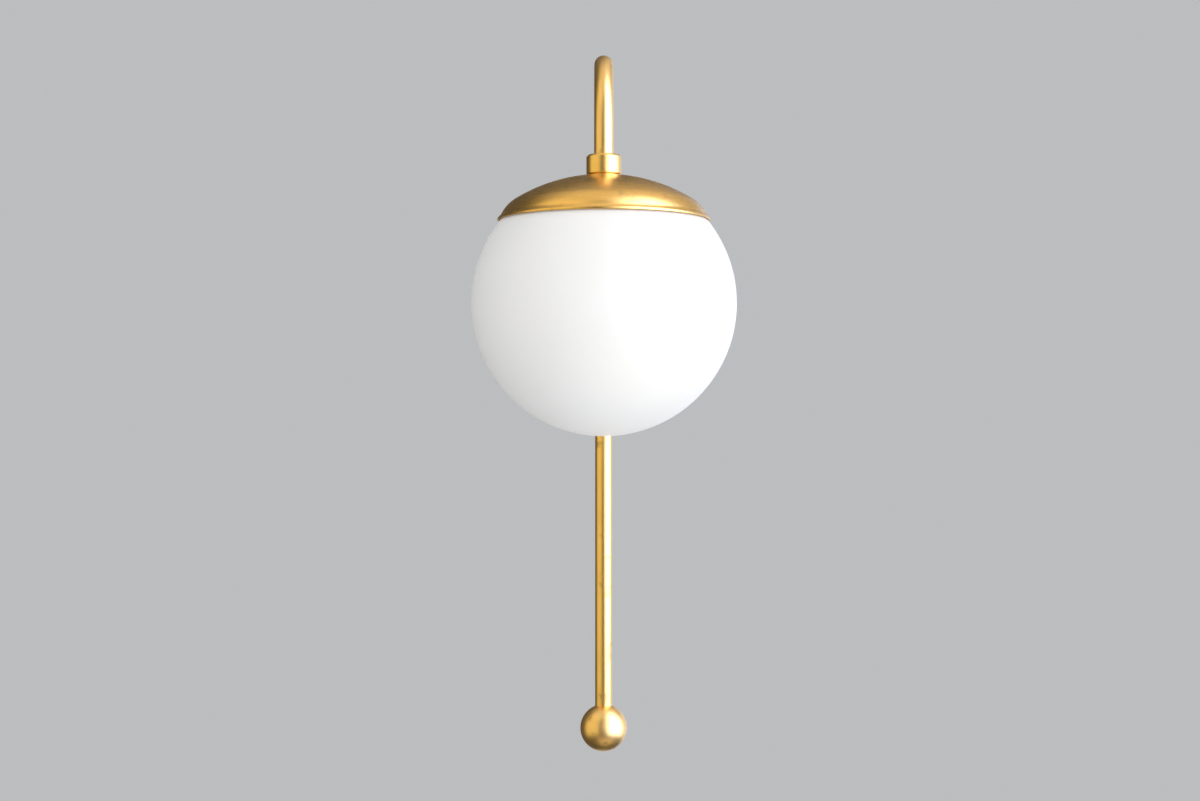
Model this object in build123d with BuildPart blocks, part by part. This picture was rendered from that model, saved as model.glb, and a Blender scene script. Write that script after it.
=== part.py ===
"""Wall sconce: opal glass globe hung from a brass cane arm, with a ball finial on a rod below.

Millimetres. The origin is the centre of the wall canopy on the wall plane, +Z is up, +X is to the
right and the lamp stands out from the wall along -Y. The globe's centre is level with the origin.
"""
from build123d import *
from math import cos, pi, radians, sin, sqrt
import os

# Overall layout
rod_standoff = 38.1           # wall to the axis of the rod and of the arm's rear leg
globe_hub_gap = 9.75          # between the back of the globe and the hub
globe_diameter = 152.0
globe_wall = 2.5
globe_mouth_drop = 19.08      # crown of the ball to the plane of its mouth
globe_lip_round = 0.8

# Dome cap over the globe
cap_wall = 1.0
cap_rim_overlap = 9.72        # mouth of the glass down to the rim
cap_rise = 26.05              # rim to the seat of the collar
cap_rim_gap = 0.4             # between the rim's bore and the glass
cap_shoulder_radius = 20.5
cap_shoulder_angle = 66.0     # slope of the cap's side where the flared rim starts
cap_flare_height = 2.9
cap_flare_out = 1.85
cap_lip_height = 1.3          # upright edge of the flared rim
cap_lip_round = 0.4
cap_seat_press = 0.45         # how far the crown is pressed flat under the collar
cap_washer_margin = 0.1       # the washer lies this far inside the flat

# Lamp pipe thread, shown plain at its crest diameter, and what screws on it
pipe_thread_diameter = 9.7
thread_gap = 0.05             # radial, between a thread and its tapped hole
pipe_nut_across_flats = 14.3
pipe_nut_thickness = 3.2
pipe_washer_thickness = 1.2

# Collar, cane arm and lower rod
collar_diameter = 20.0
collar_height = 12.0
collar_chamfer = 1.2
arm_diameter = 11.1
arm_bore = 8.3
arm_neck_straight = 12.5      # straight leg between the collar and the bend
arm_thread_length = 5.5
rod_diameter = 10.3
rod_thread_length = 8.0
pipe_end_chamfer = 0.5

# Ball finial
finial_diameter = 28.6
finial_drop = 254.0           # canopy centre to the ball's centre
finial_hole_gap = 1.0         # from the rod's end to the bottom of the tapped hole
finial_seat_margin = 0.35     # spot face wider than the rod, on the radius

# Hub that joins the arm, the rod and the canopy
hub_diameter = 19.0
hub_height = 30.0
hub_chamfer = 1.2
hub_boss_diameter = 16.0

# Wall canopy
canopy_diameter = 120.65
canopy_depth = 22.0
canopy_wall = 1.0
canopy_shoulder_radius = 12.0
canopy_rim_round = 0.4

# Crossbar behind the canopy, for a round or octagonal wall box
crossbar_end_gap = 7.325      # between each end and the canopy's wall
crossbar_width = 19.0
crossbar_thickness = 2.0
crossbar_corner = 4.0
box_slot_width = 4.8
box_slot_travel = 9.525       # between the centres of a slot's two ends
box_slot_margin = 5.15        # steel left beyond each slot
ground_stud_gap = 11.4        # axis of a stud to the axis of the ground screw
ground_screw_diameter = 4.0
ground_head_diameter = 8.0
ground_head_height = 2.2
screw_slot_width = 1.1
screw_slot_depth = 0.9

# Canopy studs and their nuts
stud_spacing = 50.8
stud_diameter = 4.1
stud_gap = 0.35               # radial, in the canopy's clearance holes
stud_nut_across_flats = 8.7
stud_nut_thickness = 3.0
cap_nut_diameter = 10.0
cap_nut_neck_diameter = 7.6
cap_nut_neck_height = 1.6
cap_nut_thread_engaged = 5.4
cap_nut_hole_gap = 0.8        # from the stud's end to the bottom of the hole

# Nipple between the hub and the canopy, and the plastic bushings in both nipples
canopy_washer_diameter = 18.4
nipple_proud = 1.2            # reach past its nut
nipple_axis_gap = 5.9         # from its front end to the rod's axis
bushing_wall = 0.5
bushing_length = 4.0
bushing_flange_diameter = 9.4
bushing_flange_thickness = 1.2
bushing_gap = 0.1
bushing_lead_gap = 0.25       # between a bushing and the leads

# Three-armed spring that holds the globe
spring_thickness = 0.6
spring_hub_diameter = 28.0
spring_arm_width = 9.0
spring_cap_gap = 1.1          # between the arms and the inside of the cap
spring_lip_gap = 0.3          # between the arms and the edge of the glass
spring_knee_rise = 0.6        # from the lip up to where the arms start to swell out
spring_bulge = 3.0            # how far the arms swell past the mouth's edge
spring_bulge_drop = 4.6       # from the lip to the widest place of the arm
spring_tip_drop = 9.5         # from the lip to the arm's tip
spring_tip_inset = 1.5        # the tip turns in from the mouth's edge
spring_bend_radius = 1.6
spring_arm_count = 3

# Socket cap and porcelain socket
socket_wall = 2.5
socket_height = 36.0
socket_round = 1.6
socket_web = 9.0              # solid web above the bulb's well
socket_fit_gap = 0.25
socket_cap_wall = 0.9
socket_cap_height = 19.0
socket_cap_neck_diameter = 13.0
socket_cap_neck_height = 4.6
neck_terminal_gap = 1.2       # between the neck and the heads of the terminal screws
socket_screw_diameter = 2.9
socket_screw_offset = 12.0
socket_screw_bite = 6.0
socket_screw_head_diameter = 5.4
socket_screw_head_height = 1.6

# Contacts and terminals
shell_bulb_gap = 0.45         # radial, around the bulb's base
shell_wall = 0.5
shell_height = 22.0
shell_flange_width = 3.0      # inward, at the top of the shell
shell_gap = 0.25              # radial, shell to porcelain
contact_tongue_width = 7.0
contact_tongue_length = 14.0
contact_thickness = 0.7
contact_spring_height = 2.2
rivet_diameter = 1.8
rivet_head_diameter = 2.8
rivet_head_height = 0.5
terminal_offset = 8.0         # lamp axis to the terminal screws
terminal_block_length = 4.6
terminal_block_width = 6.4
terminal_block_height = 4.8
terminal_strap_thickness = 0.9
terminal_screw_diameter = 2.9
terminal_head_diameter = 4.6
terminal_head_height = 1.5

# Bulb
bulb_diameter = 50.8
bulb_ball_gap = 7.1           # socket's mouth to the top of the glass ball
bulb_glass_wall = 0.8
bulb_neck_gap = 0.2           # between the glass neck and the base
bulb_neck_flare = 14.0        # radius between the neck and the ball
bulb_base_diameter = 26.0
bulb_base_wall = 0.4
bulb_base_skirt = 4.0         # plain part of the base, above the glass
bulb_thread_pitch = 3.629
bulb_thread_turns = 5
bulb_thread_depth = 0.8
bulb_insulator_height = 3.4
bulb_contact_diameter = 9.5
bulb_contact_height = 1.5
bulb_neck_inset = 3.0         # glass neck inside the base
filament_diameter = 2.0
filament_length = 28.0
filament_circle = 15.0        # diameter of the circle that the filaments stand on
filament_count = 4
stem_diameter = 5.0
stem_flange_gap = 0.2         # between the stem's flange and the neck
stem_flange_thickness = 1.2
stem_wire_diameter = 0.8

# Leads and wire connectors
lead_diameter = 2.2
lead_gap = 0.5                # between the two leads
lead_bushing_gap = 0.2        # the leads run straight this far past the bushing
lead_hub_turn = 10.0          # radius of the turn inside the hub
lead_canopy_turn = 5.0
lead_side_turn = 8.0
lead_socket_turn = 3.0
lead_entry_height = 2.6       # above the terminal strap
lead_bend_ease = 0.3          # the leads lie this much inside the arm's centre line
ground_lead_diameter = 1.3
ground_lead_turn = 4.0
ground_eye_diameter = 7.4
ground_corner_shares = (0.33, 0.65)  # of the way from the eye to the wire's end
connector_diameter = 10.0
connector_tip_diameter = 6.4
connector_length = 20.0
connector_spread = 17.0       # each connector from the middle of the canopy
connector_rim_gap = 12.325    # tips of the connectors to the height of the canopy's wall
lead_grip = 5.0               # length of lead inside a connector

# Worked-out places
cut_overrun = 1.0
globe_radius = globe_diameter / 2
globe_bore_radius = globe_radius - globe_wall
hook_span = globe_radius + globe_hub_gap + hub_diameter / 2
rod_y = -rod_standoff
lamp_y = rod_y - hook_span
mouth_z = globe_radius - globe_mouth_drop
mouth_radius = sqrt(globe_bore_radius**2 - mouth_z**2)
cap_rim_z = mouth_z - cap_rim_overlap
cap_top_z = cap_rim_z + cap_rise
collar_top_z = cap_top_z + collar_height
bend_radius = hook_span / 2
bend_z = collar_top_z + arm_neck_straight
crest_z = bend_z + bend_radius
hub_top_z = hub_height / 2
thread_radius = pipe_thread_diameter / 2
tapped_radius = thread_radius + thread_gap
lead_offset = (lead_diameter + lead_gap) / 2
bushing_bore_radius = lead_offset + lead_diameter / 2 + bushing_lead_gap
pipe_bore_radius = bushing_bore_radius + bushing_wall + bushing_gap
washer_z = cap_top_z - cap_wall - pipe_washer_thickness
spring_z = washer_z - spring_thickness
pipe_nut_z = spring_z - pipe_nut_thickness
socket_cap_top_z = pipe_nut_z
neck_bottom_z = socket_cap_top_z - socket_cap_wall - socket_cap_neck_height
terminal_stack = terminal_strap_thickness + terminal_block_height + terminal_head_height
socket_top_z = neck_bottom_z - neck_terminal_gap - terminal_stack
socket_bottom_z = socket_top_z - socket_height
well_top_z = socket_top_z - socket_web
contact_z = well_top_z - contact_thickness - contact_spring_height
bulb_tip_z = contact_z
shell_bore_radius = bulb_base_diameter / 2 + shell_bulb_gap
well_radius = shell_bore_radius + shell_wall + shell_gap
socket_radius = well_radius + socket_wall
finial_z = -finial_drop
finial_radius = finial_diameter / 2
finial_seat_radius = rod_diameter / 2 + finial_seat_margin
finial_seat_z = finial_z + sqrt(finial_radius**2 - finial_seat_radius**2)
canopy_radius = canopy_diameter / 2
canopy_bore_radius = canopy_radius - canopy_wall
canopy_inner_y = canopy_wall - canopy_depth
canopy_nut_y = canopy_inner_y + pipe_washer_thickness
nipple_front_y = rod_y + nipple_axis_gap
nipple_rear_y = canopy_nut_y + pipe_nut_thickness + nipple_proud
crossbar_length = (canopy_bore_radius - crossbar_end_gap) * 2
ground_screw_offset = stud_spacing / 2 - ground_stud_gap
connector_height = canopy_bore_radius - connector_rim_gap - connector_length
connector_y = nipple_rear_y + bushing_flange_thickness + lead_bushing_gap + lead_canopy_turn

lamp_section = Plane(origin=(0, lamp_y, 0), x_dir=(1, 0, 0), z_dir=(0, -1, 0))
lamp_axis = Axis((0, lamp_y, 0), (0, 0, 1))
rod_section = Plane(origin=(0, rod_y, 0), x_dir=(1, 0, 0), z_dir=(0, -1, 0))
rod_axis = Axis((0, rod_y, 0), (0, 0, 1))


def on_circle(centre, radius, degrees_from_top):
    """Point of a circle, measured from its top towards larger radii."""
    turn = radians(degrees_from_top)
    return (centre[0] + radius * sin(turn), centre[1] + radius * cos(turn))


def ring(section, axis, inner, outer, low, high, mode=Mode.ADD):
    """Ring of plain rectangular section, turned about an axis that lies in its plane."""
    with BuildSketch(section) as profile:
        with Locations(((inner + outer) / 2, (low + high) / 2)):
            Rectangle(outer - inner, high - low)
    revolve(profile.sketch, axis=axis, mode=mode)


def finish(part, name):
    """Label a piece and write it under its node's name."""
    part.label = name
    export_step(part, f"parts/{name}.step")
    print(f"{name}: {part.volume:.0f} mm3")


os.makedirs("parts", exist_ok=True)

# Globe: a glass ball with a ground mouth at the top
with BuildPart() as globe:
    with Locations((0, lamp_y, 0)):
        Sphere(globe_radius)
        Sphere(globe_bore_radius, mode=Mode.SUBTRACT)
    with Locations((0, lamp_y, mouth_z)):
        Box(globe_diameter, globe_diameter, globe_diameter,
            align=(Align.CENTER, Align.CENTER, Align.MIN), mode=Mode.SUBTRACT)
    lip_edges = globe.edges().filter_by(GeomType.CIRCLE).group_by(Axis.Z)[-1]
    fillet(lip_edges, globe_lip_round)
finish(globe.part, "globe")

# Dome cap: crown and shoulder arcs that meet smoothly, then a flared rim close round the glass
cap_rim_radius = sqrt(globe_radius**2 - cap_rim_z**2) + cap_rim_gap + cap_wall
cap_edge = (cap_rim_radius - cap_flare_out, cap_rim_z + cap_flare_height)
shoulder_turn = radians(cap_shoulder_angle)
shoulder_centre = (cap_edge[0] - cap_shoulder_radius * sin(shoulder_turn),
                   cap_edge[1] - cap_shoulder_radius * cos(shoulder_turn))
crown_apex_z = cap_top_z + cap_seat_press
apex_drop = crown_apex_z - cap_shoulder_radius
crown_centre_z = ((apex_drop**2 - shoulder_centre[0]**2 - shoulder_centre[1]**2)
                  / (2 * (apex_drop - shoulder_centre[1])))
crown_radius = crown_apex_z - crown_centre_z
crown_centre = (0, crown_centre_z)
crown_turn = Vector(0, 1).get_angle(Vector(*shoulder_centre) - Vector(*crown_centre))


def crown_start(radius, top):
    """Where a crown arc of this radius leaves the flat seat at height top."""
    return (sqrt(radius**2 - (top - crown_centre_z)**2), top)


inner_shoulder = cap_shoulder_radius - cap_wall
inner_crown = crown_radius - cap_wall
inner_seat = crown_start(inner_crown, cap_top_z - cap_wall)
with BuildPart() as dome_cap:
    with BuildSketch(lamp_section):
        with BuildLine():
            seat_out = crown_start(crown_radius, cap_top_z)
            seat_turn = Vector(0, 1).get_angle(Vector(*seat_out) - Vector(*crown_centre))
            half_crown = (seat_turn + crown_turn) / 2
            half_shoulder = (crown_turn + cap_shoulder_angle) / 2
            join = on_circle(crown_centre, crown_radius, crown_turn)
            Line((tapped_radius, cap_top_z), seat_out)
            ThreePointArc(seat_out, on_circle(crown_centre, crown_radius, half_crown), join)
            ThreePointArc(join, on_circle(shoulder_centre, cap_shoulder_radius, half_shoulder), cap_edge)
            inner_edge = on_circle(shoulder_centre, inner_shoulder, cap_shoulder_angle)
            inner_join = on_circle(crown_centre, inner_crown, crown_turn)
            Polyline(cap_edge,
                     (cap_rim_radius, cap_rim_z + cap_lip_height),
                     (cap_rim_radius, cap_rim_z),
                     (cap_rim_radius - cap_wall, cap_rim_z),
                     (cap_rim_radius - cap_wall, cap_rim_z + cap_lip_height),
                     inner_edge)
            ThreePointArc(inner_edge, on_circle(shoulder_centre, inner_shoulder, half_shoulder), inner_join)
            ThreePointArc(inner_join, on_circle(crown_centre, inner_crown, half_crown), inner_seat)
            Polyline(inner_seat, (tapped_radius, cap_top_z - cap_wall), (tapped_radius, cap_top_z))
        make_face()
    revolve(axis=lamp_axis)
    rim_edges = dome_cap.edges().filter_by(GeomType.CIRCLE).group_by(Axis.Z)[0]
    fillet(rim_edges, cap_lip_round)
finish(dome_cap.part, "dome_cap")

# Collar: tapped brass coupling between the arm and the nipple that carries the cap
with BuildPart() as collar:
    ring(lamp_section, lamp_axis, tapped_radius, collar_diameter / 2, cap_top_z, collar_top_z)
    outer_edges = (collar.edges().filter_by(GeomType.CIRCLE)
                   .filter_by(lambda edge: edge.radius > tapped_radius + thread_gap))
    chamfer(outer_edges, collar_chamfer)
finish(collar.part, "collar")

# Cane arm: one bent tube with a thread at each end
arm_front_end_z = collar_top_z - arm_thread_length
arm_rear_end_z = hub_top_z - arm_thread_length


def arm_tube(radius, mode=Mode.ADD):
    """Sweep a disc of this radius along the arm's centre line."""
    with BuildLine() as route:
        front = Line((0, lamp_y, arm_front_end_z), (0, lamp_y, bend_z))
        hook = ThreePointArc(front @ 1, (0, lamp_y + bend_radius, crest_z), (0, rod_y, bend_z))
        Line(hook @ 1, (0, rod_y, arm_rear_end_z))
    with BuildSketch(Plane(origin=(0, lamp_y, arm_front_end_z), z_dir=(0, 0, 1))) as disc:
        Circle(radius)
    sweep(disc.sketch, path=route.line, mode=mode)


with BuildPart() as cane_arm:
    arm_tube(arm_diameter / 2)
    ring(lamp_section, lamp_axis, thread_radius, arm_diameter, arm_front_end_z - cut_overrun,
         collar_top_z, mode=Mode.SUBTRACT)
    ring(rod_section, rod_axis, thread_radius, arm_diameter, arm_rear_end_z - cut_overrun,
         hub_top_z, mode=Mode.SUBTRACT)
    arm_tube(arm_bore / 2, mode=Mode.SUBTRACT)
finish(cane_arm.part, "cane_arm")

# Hub: upright body with a boss to the canopy, bored through for the leads
with BuildPart() as hub:
    with Locations((0, rod_y, 0)):
        Cylinder(hub_diameter / 2, hub_height)
    chamfer(hub.edges().filter_by(GeomType.CIRCLE), hub_chamfer)
    with BuildSketch(Plane.XZ.offset(canopy_depth)):
        Circle(hub_boss_diameter / 2)
    extrude(amount=rod_standoff - canopy_depth)
    with Locations((0, rod_y, 0)):
        Cylinder(tapped_radius, hub_height + cut_overrun, mode=Mode.SUBTRACT)
    with BuildSketch(Plane.XZ.offset(canopy_depth)):
        Circle(tapped_radius)
    extrude(amount=rod_standoff - canopy_depth, mode=Mode.SUBTRACT)
finish(hub.part, "hub")

# Lower rod: straight pipe with a thread at each end
rod_top_z = -hub_top_z
with BuildPart() as lower_rod:
    ring(rod_section, rod_axis, pipe_bore_radius, rod_diameter / 2, finial_seat_z, rod_top_z)
    ring(rod_section, rod_axis, pipe_bore_radius, thread_radius, rod_top_z, rod_top_z + rod_thread_length)
    ring(rod_section, rod_axis, pipe_bore_radius, thread_radius,
         finial_seat_z - rod_thread_length, finial_seat_z)
    thread_ends = (lower_rod.edges().filter_by(GeomType.CIRCLE)
                   .filter_by(lambda edge: abs(edge.radius - thread_radius) < thread_gap))
    chamfer(thread_ends.group_by(Axis.Z)[0] + thread_ends.group_by(Axis.Z)[-1], pipe_end_chamfer)
finish(lower_rod.part, "lower_rod")

# Ball finial, spot faced and tapped from above
with BuildPart() as ball_finial:
    with Locations((0, rod_y, finial_z)):
        Sphere(finial_radius)
    with Locations((0, rod_y, finial_seat_z)):
        Cylinder(finial_seat_radius + cut_overrun, finial_radius,
                 align=(Align.CENTER, Align.CENTER, Align.MIN), mode=Mode.SUBTRACT)
        Cylinder(tapped_radius, rod_thread_length + finial_hole_gap,
                 align=(Align.CENTER, Align.CENTER, Align.MAX), mode=Mode.SUBTRACT)
finish(ball_finial.part, "ball_finial")

# Cap nipple: pipe from the collar down into the socket cap
with BuildPart() as cap_nipple:
    ring(lamp_section, lamp_axis, pipe_bore_radius, thread_radius,
         neck_bottom_z, arm_front_end_z - thread_gap)
    chamfer(cap_nipple.edges().filter_by(GeomType.CIRCLE)
            .filter_by(lambda edge: edge.radius > pipe_bore_radius + thread_gap), pipe_end_chamfer)
finish(cap_nipple.part, "cap_nipple")

# Washer and nut that clamp the cap and the spring to the collar
with BuildPart() as cap_washer:
    ring(lamp_section, lamp_axis, tapped_radius, inner_seat[0] - cap_washer_margin,
         washer_z, cap_top_z - cap_wall)
finish(cap_washer.part, "cap_washer")

with BuildPart() as cap_nut:
    with BuildSketch(Plane(origin=(0, lamp_y, pipe_nut_z), z_dir=(0, 0, 1))):
        RegularPolygon(pipe_nut_across_flats / 2, 6, major_radius=False)
        Circle(tapped_radius, mode=Mode.SUBTRACT)
    extrude(amount=pipe_nut_thickness)
finish(cap_nut.part, "cap_nut")

# Globe spring: a flat hub with three arms that run under the cap and swell below the glass lip
arm_line_radius = crown_radius - cap_wall - spring_cap_gap
lip_radius = mouth_radius - spring_lip_gap - spring_thickness / 2


def arm_line_z(radius):
    """Height of the spring arm's upper side at this distance from the lamp's axis."""
    return crown_centre_z + sqrt(arm_line_radius**2 - radius**2)


spring_root_radius = spring_hub_diameter / 2
spring_drop_radius = lip_radius - spring_bulge
spring_outline = [
    (spring_root_radius - spring_thickness, spring_z + spring_thickness / 2),
    (spring_drop_radius, arm_line_z(spring_drop_radius)),
    (lip_radius, mouth_z + spring_knee_rise),
    (lip_radius + spring_bulge, mouth_z - spring_bulge_drop),
    (lip_radius - spring_tip_inset, mouth_z - spring_tip_drop),
]
spring_arm_turns = [360 / spring_arm_count * arm for arm in range(spring_arm_count)]
with BuildPart() as globe_spring:
    ring(lamp_section, lamp_axis, tapped_radius, spring_root_radius, spring_z, spring_z + spring_thickness)
    for turn in spring_arm_turns:
        out = Vector(1, 0, 0).rotate(Axis.Z, turn)
        with BuildSketch(Plane(origin=(0, lamp_y, 0), x_dir=out, z_dir=out.cross(Vector(0, 0, 1)))):
            with BuildLine():
                FilletPolyline(*spring_outline, radius=spring_bend_radius)
                offset(amount=spring_thickness / 2, side=Side.BOTH, closed=True)
            make_face()
        extrude(amount=spring_arm_width / 2, both=True)
finish(globe_spring.part, "globe_spring")

# Socket cap: steel cup with a tapped neck inside, screwed up the nipple to the nut
socket_cap_bore = socket_radius + socket_fit_gap
socket_cap_radius = socket_cap_bore + socket_cap_wall
socket_screw_places = [(0, lamp_y + side * socket_screw_offset) for side in (-1, 1)]
with BuildPart() as socket_cap:
    ring(lamp_section, lamp_axis, tapped_radius, socket_cap_radius,
         socket_cap_top_z - socket_cap_wall, socket_cap_top_z)
    ring(lamp_section, lamp_axis, socket_cap_bore, socket_cap_radius,
         socket_cap_top_z - socket_cap_height, socket_cap_top_z)
    ring(lamp_section, lamp_axis, tapped_radius, socket_cap_neck_diameter / 2,
         neck_bottom_z, socket_cap_top_z)
    top_edge = (socket_cap.edges().filter_by(GeomType.CIRCLE).group_by(Axis.Z)[-1]
                .sort_by(SortBy.RADIUS)[-1])
    fillet(top_edge, socket_cap_wall)
    with BuildSketch(Plane.XY.offset(socket_cap_top_z)):
        with Locations(*socket_screw_places):
            Circle(socket_screw_diameter / 2 + thread_gap)
    extrude(amount=-socket_cap_wall, mode=Mode.SUBTRACT)
finish(socket_cap.part, "socket_cap")

# Porcelain socket body: web on top, well for the bulb's base below
shell_rivet_offset = shell_bore_radius - shell_flange_width / 2
rivet_places = [(0, lamp_y), (-shell_rivet_offset, lamp_y)]
with BuildPart() as socket_body:
    with Locations((0, lamp_y, socket_bottom_z)):
        Cylinder(socket_radius, socket_height, align=(Align.CENTER, Align.CENTER, Align.MIN))
        Cylinder(well_radius, socket_height - socket_web,
                 align=(Align.CENTER, Align.CENTER, Align.MIN), mode=Mode.SUBTRACT)
    mouth_edges = socket_body.edges().filter_by(GeomType.CIRCLE).group_by(Axis.Z)[0]
    fillet(mouth_edges.sort_by(SortBy.RADIUS)[-1], socket_round)
    with BuildSketch(Plane.XY.offset(socket_top_z)):
        with Locations(*socket_screw_places):
            Circle(socket_screw_diameter / 2 + thread_gap)
    extrude(amount=-socket_screw_bite, mode=Mode.SUBTRACT)
    with BuildSketch(Plane.XY.offset(socket_top_z)):
        with Locations(*rivet_places):
            Circle(rivet_diameter / 2 + thread_gap)
    extrude(amount=-socket_web, mode=Mode.SUBTRACT)
finish(socket_body.part, "socket_body")

# Two screws from the socket cap's top down into the porcelain
socket_screw_length = socket_cap_top_z - socket_top_z + socket_screw_bite - thread_gap
with BuildPart() as socket_screws:
    with BuildSketch(Plane.XY.offset(socket_cap_top_z)):
        with Locations(*socket_screw_places):
            Circle(socket_screw_diameter / 2)
    extrude(amount=-socket_screw_length)
    with BuildSketch(Plane.XY.offset(socket_cap_top_z)):
        with Locations(*socket_screw_places):
            Circle(socket_screw_head_diameter / 2)
    extrude(amount=socket_screw_head_height)
    with BuildSketch(Plane.XY.offset(socket_cap_top_z + socket_screw_head_height)):
        with Locations(*socket_screw_places):
            Rectangle(socket_screw_head_diameter, screw_slot_width)
    extrude(amount=-screw_slot_depth, mode=Mode.SUBTRACT)
finish(socket_screws.part, "socket_screws")

# Screw shell that takes the bulb's base, with a flange riveted under the web
with BuildPart() as screw_shell:
    shell_radius = shell_bore_radius + shell_wall
    ring(lamp_section, lamp_axis, shell_bore_radius, shell_radius, well_top_z - shell_height, well_top_z)
    ring(lamp_section, lamp_axis, shell_bore_radius - shell_flange_width, shell_radius,
         well_top_z - shell_wall, well_top_z)
    with BuildSketch(Plane.XY.offset(well_top_z)):
        with Locations((-shell_rivet_offset, lamp_y)):
            Circle(rivet_diameter / 2 + thread_gap)
    extrude(amount=-shell_wall, mode=Mode.SUBTRACT)
finish(screw_shell.part, "screw_shell")

# Centre contact: a tongue riveted under the web, bent down to meet the bulb
with BuildPart() as centre_contact:
    with BuildSketch(lamp_section):
        with BuildLine():
            tongue_end = contact_tongue_length / 2
            FilletPolyline((-tongue_end, well_top_z - contact_thickness / 2),
                           (tongue_end - contact_spring_height, well_top_z - contact_thickness / 2),
                           (tongue_end, well_top_z - contact_thickness / 2 - contact_spring_height),
                           (0, contact_z + contact_thickness / 2),
                           radius=contact_thickness)
            offset(amount=contact_thickness / 2, side=Side.BOTH, closed=True)
        make_face()
    extrude(amount=contact_tongue_width / 2, both=True)
    with BuildSketch(Plane.XY.offset(well_top_z)):
        with Locations((0, lamp_y)):
            Circle(rivet_diameter / 2 + thread_gap)
    extrude(amount=-contact_thickness, mode=Mode.SUBTRACT)
finish(centre_contact.part, "centre_contact")

# Rivets through the web: contact to hot terminal, shell to neutral terminal
strap_top_z = socket_top_z + terminal_strap_thickness
with BuildPart() as contact_rivets:
    for place, seat_thickness in zip(rivet_places, (contact_thickness, shell_wall)):
        seat_z = well_top_z - seat_thickness
        with BuildSketch(Plane.XY.offset(seat_z)):
            with Locations(place):
                Circle(rivet_diameter / 2)
        extrude(amount=strap_top_z - seat_z)
        for head_z in (seat_z - rivet_head_height, strap_top_z):
            with BuildSketch(Plane.XY.offset(head_z)):
                with Locations(place):
                    Circle(rivet_head_diameter / 2)
            extrude(amount=rivet_head_height)
finish(contact_rivets.part, "contact_rivets")

# Terminals on top of the web: a strap with a block that the lead enters from the side
block_inner_x = terminal_offset - terminal_block_length / 2
block_outer_x = terminal_offset + terminal_block_length / 2
block_top_z = strap_top_z + terminal_block_height
terminal_sides = (("hot_terminal", 1, 0), ("neutral_terminal", -1, shell_rivet_offset))
for terminal_name, side, rivet_offset in terminal_sides:
    strap_low = min(rivet_offset - rivet_diameter, block_inner_x)
    strap_high = max(rivet_offset + rivet_diameter, block_outer_x)
    with BuildPart() as terminal:
        with BuildSketch(Plane.XY.offset(socket_top_z)):
            with Locations((side * (strap_low + strap_high) / 2, lamp_y)):
                Rectangle(strap_high - strap_low, terminal_block_width)
        extrude(amount=terminal_strap_thickness)
        with BuildSketch(Plane.XY.offset(strap_top_z)):
            with Locations((side * terminal_offset, lamp_y)):
                Rectangle(terminal_block_length, terminal_block_width)
        extrude(amount=terminal_block_height)
        with BuildSketch(Plane.XY.offset(block_top_z)):
            with Locations((side * terminal_offset, lamp_y)):
                Circle(terminal_screw_diameter / 2 + thread_gap)
        extrude(amount=-terminal_block_height, mode=Mode.SUBTRACT)
        with BuildSketch(Plane.XY.offset(socket_top_z)):
            with Locations((side * rivet_offset, lamp_y)):
                Circle(rivet_diameter / 2 + thread_gap)
        extrude(amount=terminal_strap_thickness, mode=Mode.SUBTRACT)
    finish(terminal.part, terminal_name)

with BuildPart() as terminal_screws:
    terminal_places = [(side * terminal_offset, lamp_y) for side in (-1, 1)]
    with BuildSketch(Plane.XY.offset(block_top_z)):
        with Locations(*terminal_places):
            Circle(terminal_screw_diameter / 2)
    extrude(amount=-terminal_block_height)
    with BuildSketch(Plane.XY.offset(block_top_z)):
        with Locations(*terminal_places):
            Circle(terminal_head_diameter / 2)
    extrude(amount=terminal_head_height)
    with BuildSketch(Plane.XY.offset(block_top_z + terminal_head_height)):
        with Locations(*terminal_places):
            Rectangle(terminal_head_diameter, screw_slot_width)
    extrude(amount=-screw_slot_depth, mode=Mode.SUBTRACT)
finish(terminal_screws.part, "terminal_screws")

# Bulb: contact button, insulator, threaded base and a round glass envelope
insulator_top_z = bulb_tip_z - bulb_contact_height
base_top_z = insulator_top_z - bulb_insulator_height
thread_bottom_z = base_top_z - bulb_thread_turns * bulb_thread_pitch
base_bottom_z = thread_bottom_z - bulb_base_skirt
crest_radius = bulb_base_diameter / 2
root_radius = crest_radius - bulb_thread_depth
base_bore_radius = root_radius - bulb_base_wall
with BuildPart() as bulb_contact:
    ring(lamp_section, lamp_axis, 0, bulb_contact_diameter / 2, insulator_top_z, bulb_tip_z)
    tip_edge = bulb_contact.edges().filter_by(GeomType.CIRCLE).group_by(Axis.Z)[-1]
    fillet(tip_edge, bulb_contact_height / 2)
finish(bulb_contact.part, "bulb_contact")

with BuildPart() as bulb_insulator:
    with BuildSketch(lamp_section):
        with BuildLine():
            Polyline((0, insulator_top_z), (bulb_contact_diameter / 2, insulator_top_z),
                     (root_radius, base_top_z), (0, base_top_z), close=True)
        make_face()
    revolve(axis=lamp_axis)
finish(bulb_insulator.part, "bulb_insulator")

with BuildPart() as bulb_base:
    with BuildSketch(lamp_section):
        with BuildLine():
            Polyline((root_radius, thread_bottom_z), (root_radius, base_bottom_z),
                     (base_bore_radius, base_bottom_z), (base_bore_radius, base_top_z - bulb_base_wall),
                     (bulb_contact_diameter / 2, base_top_z - bulb_base_wall),
                     (bulb_contact_diameter / 2, base_top_z), (root_radius, base_top_z))
            for turn in range(bulb_thread_turns):
                ridge_top = base_top_z - turn * bulb_thread_pitch
                ThreePointArc((root_radius, ridge_top),
                              (crest_radius, ridge_top - bulb_thread_pitch / 2),
                              (root_radius, ridge_top - bulb_thread_pitch))
        make_face()
    revolve(axis=lamp_axis)
finish(bulb_base.part, "bulb_base")

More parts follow.
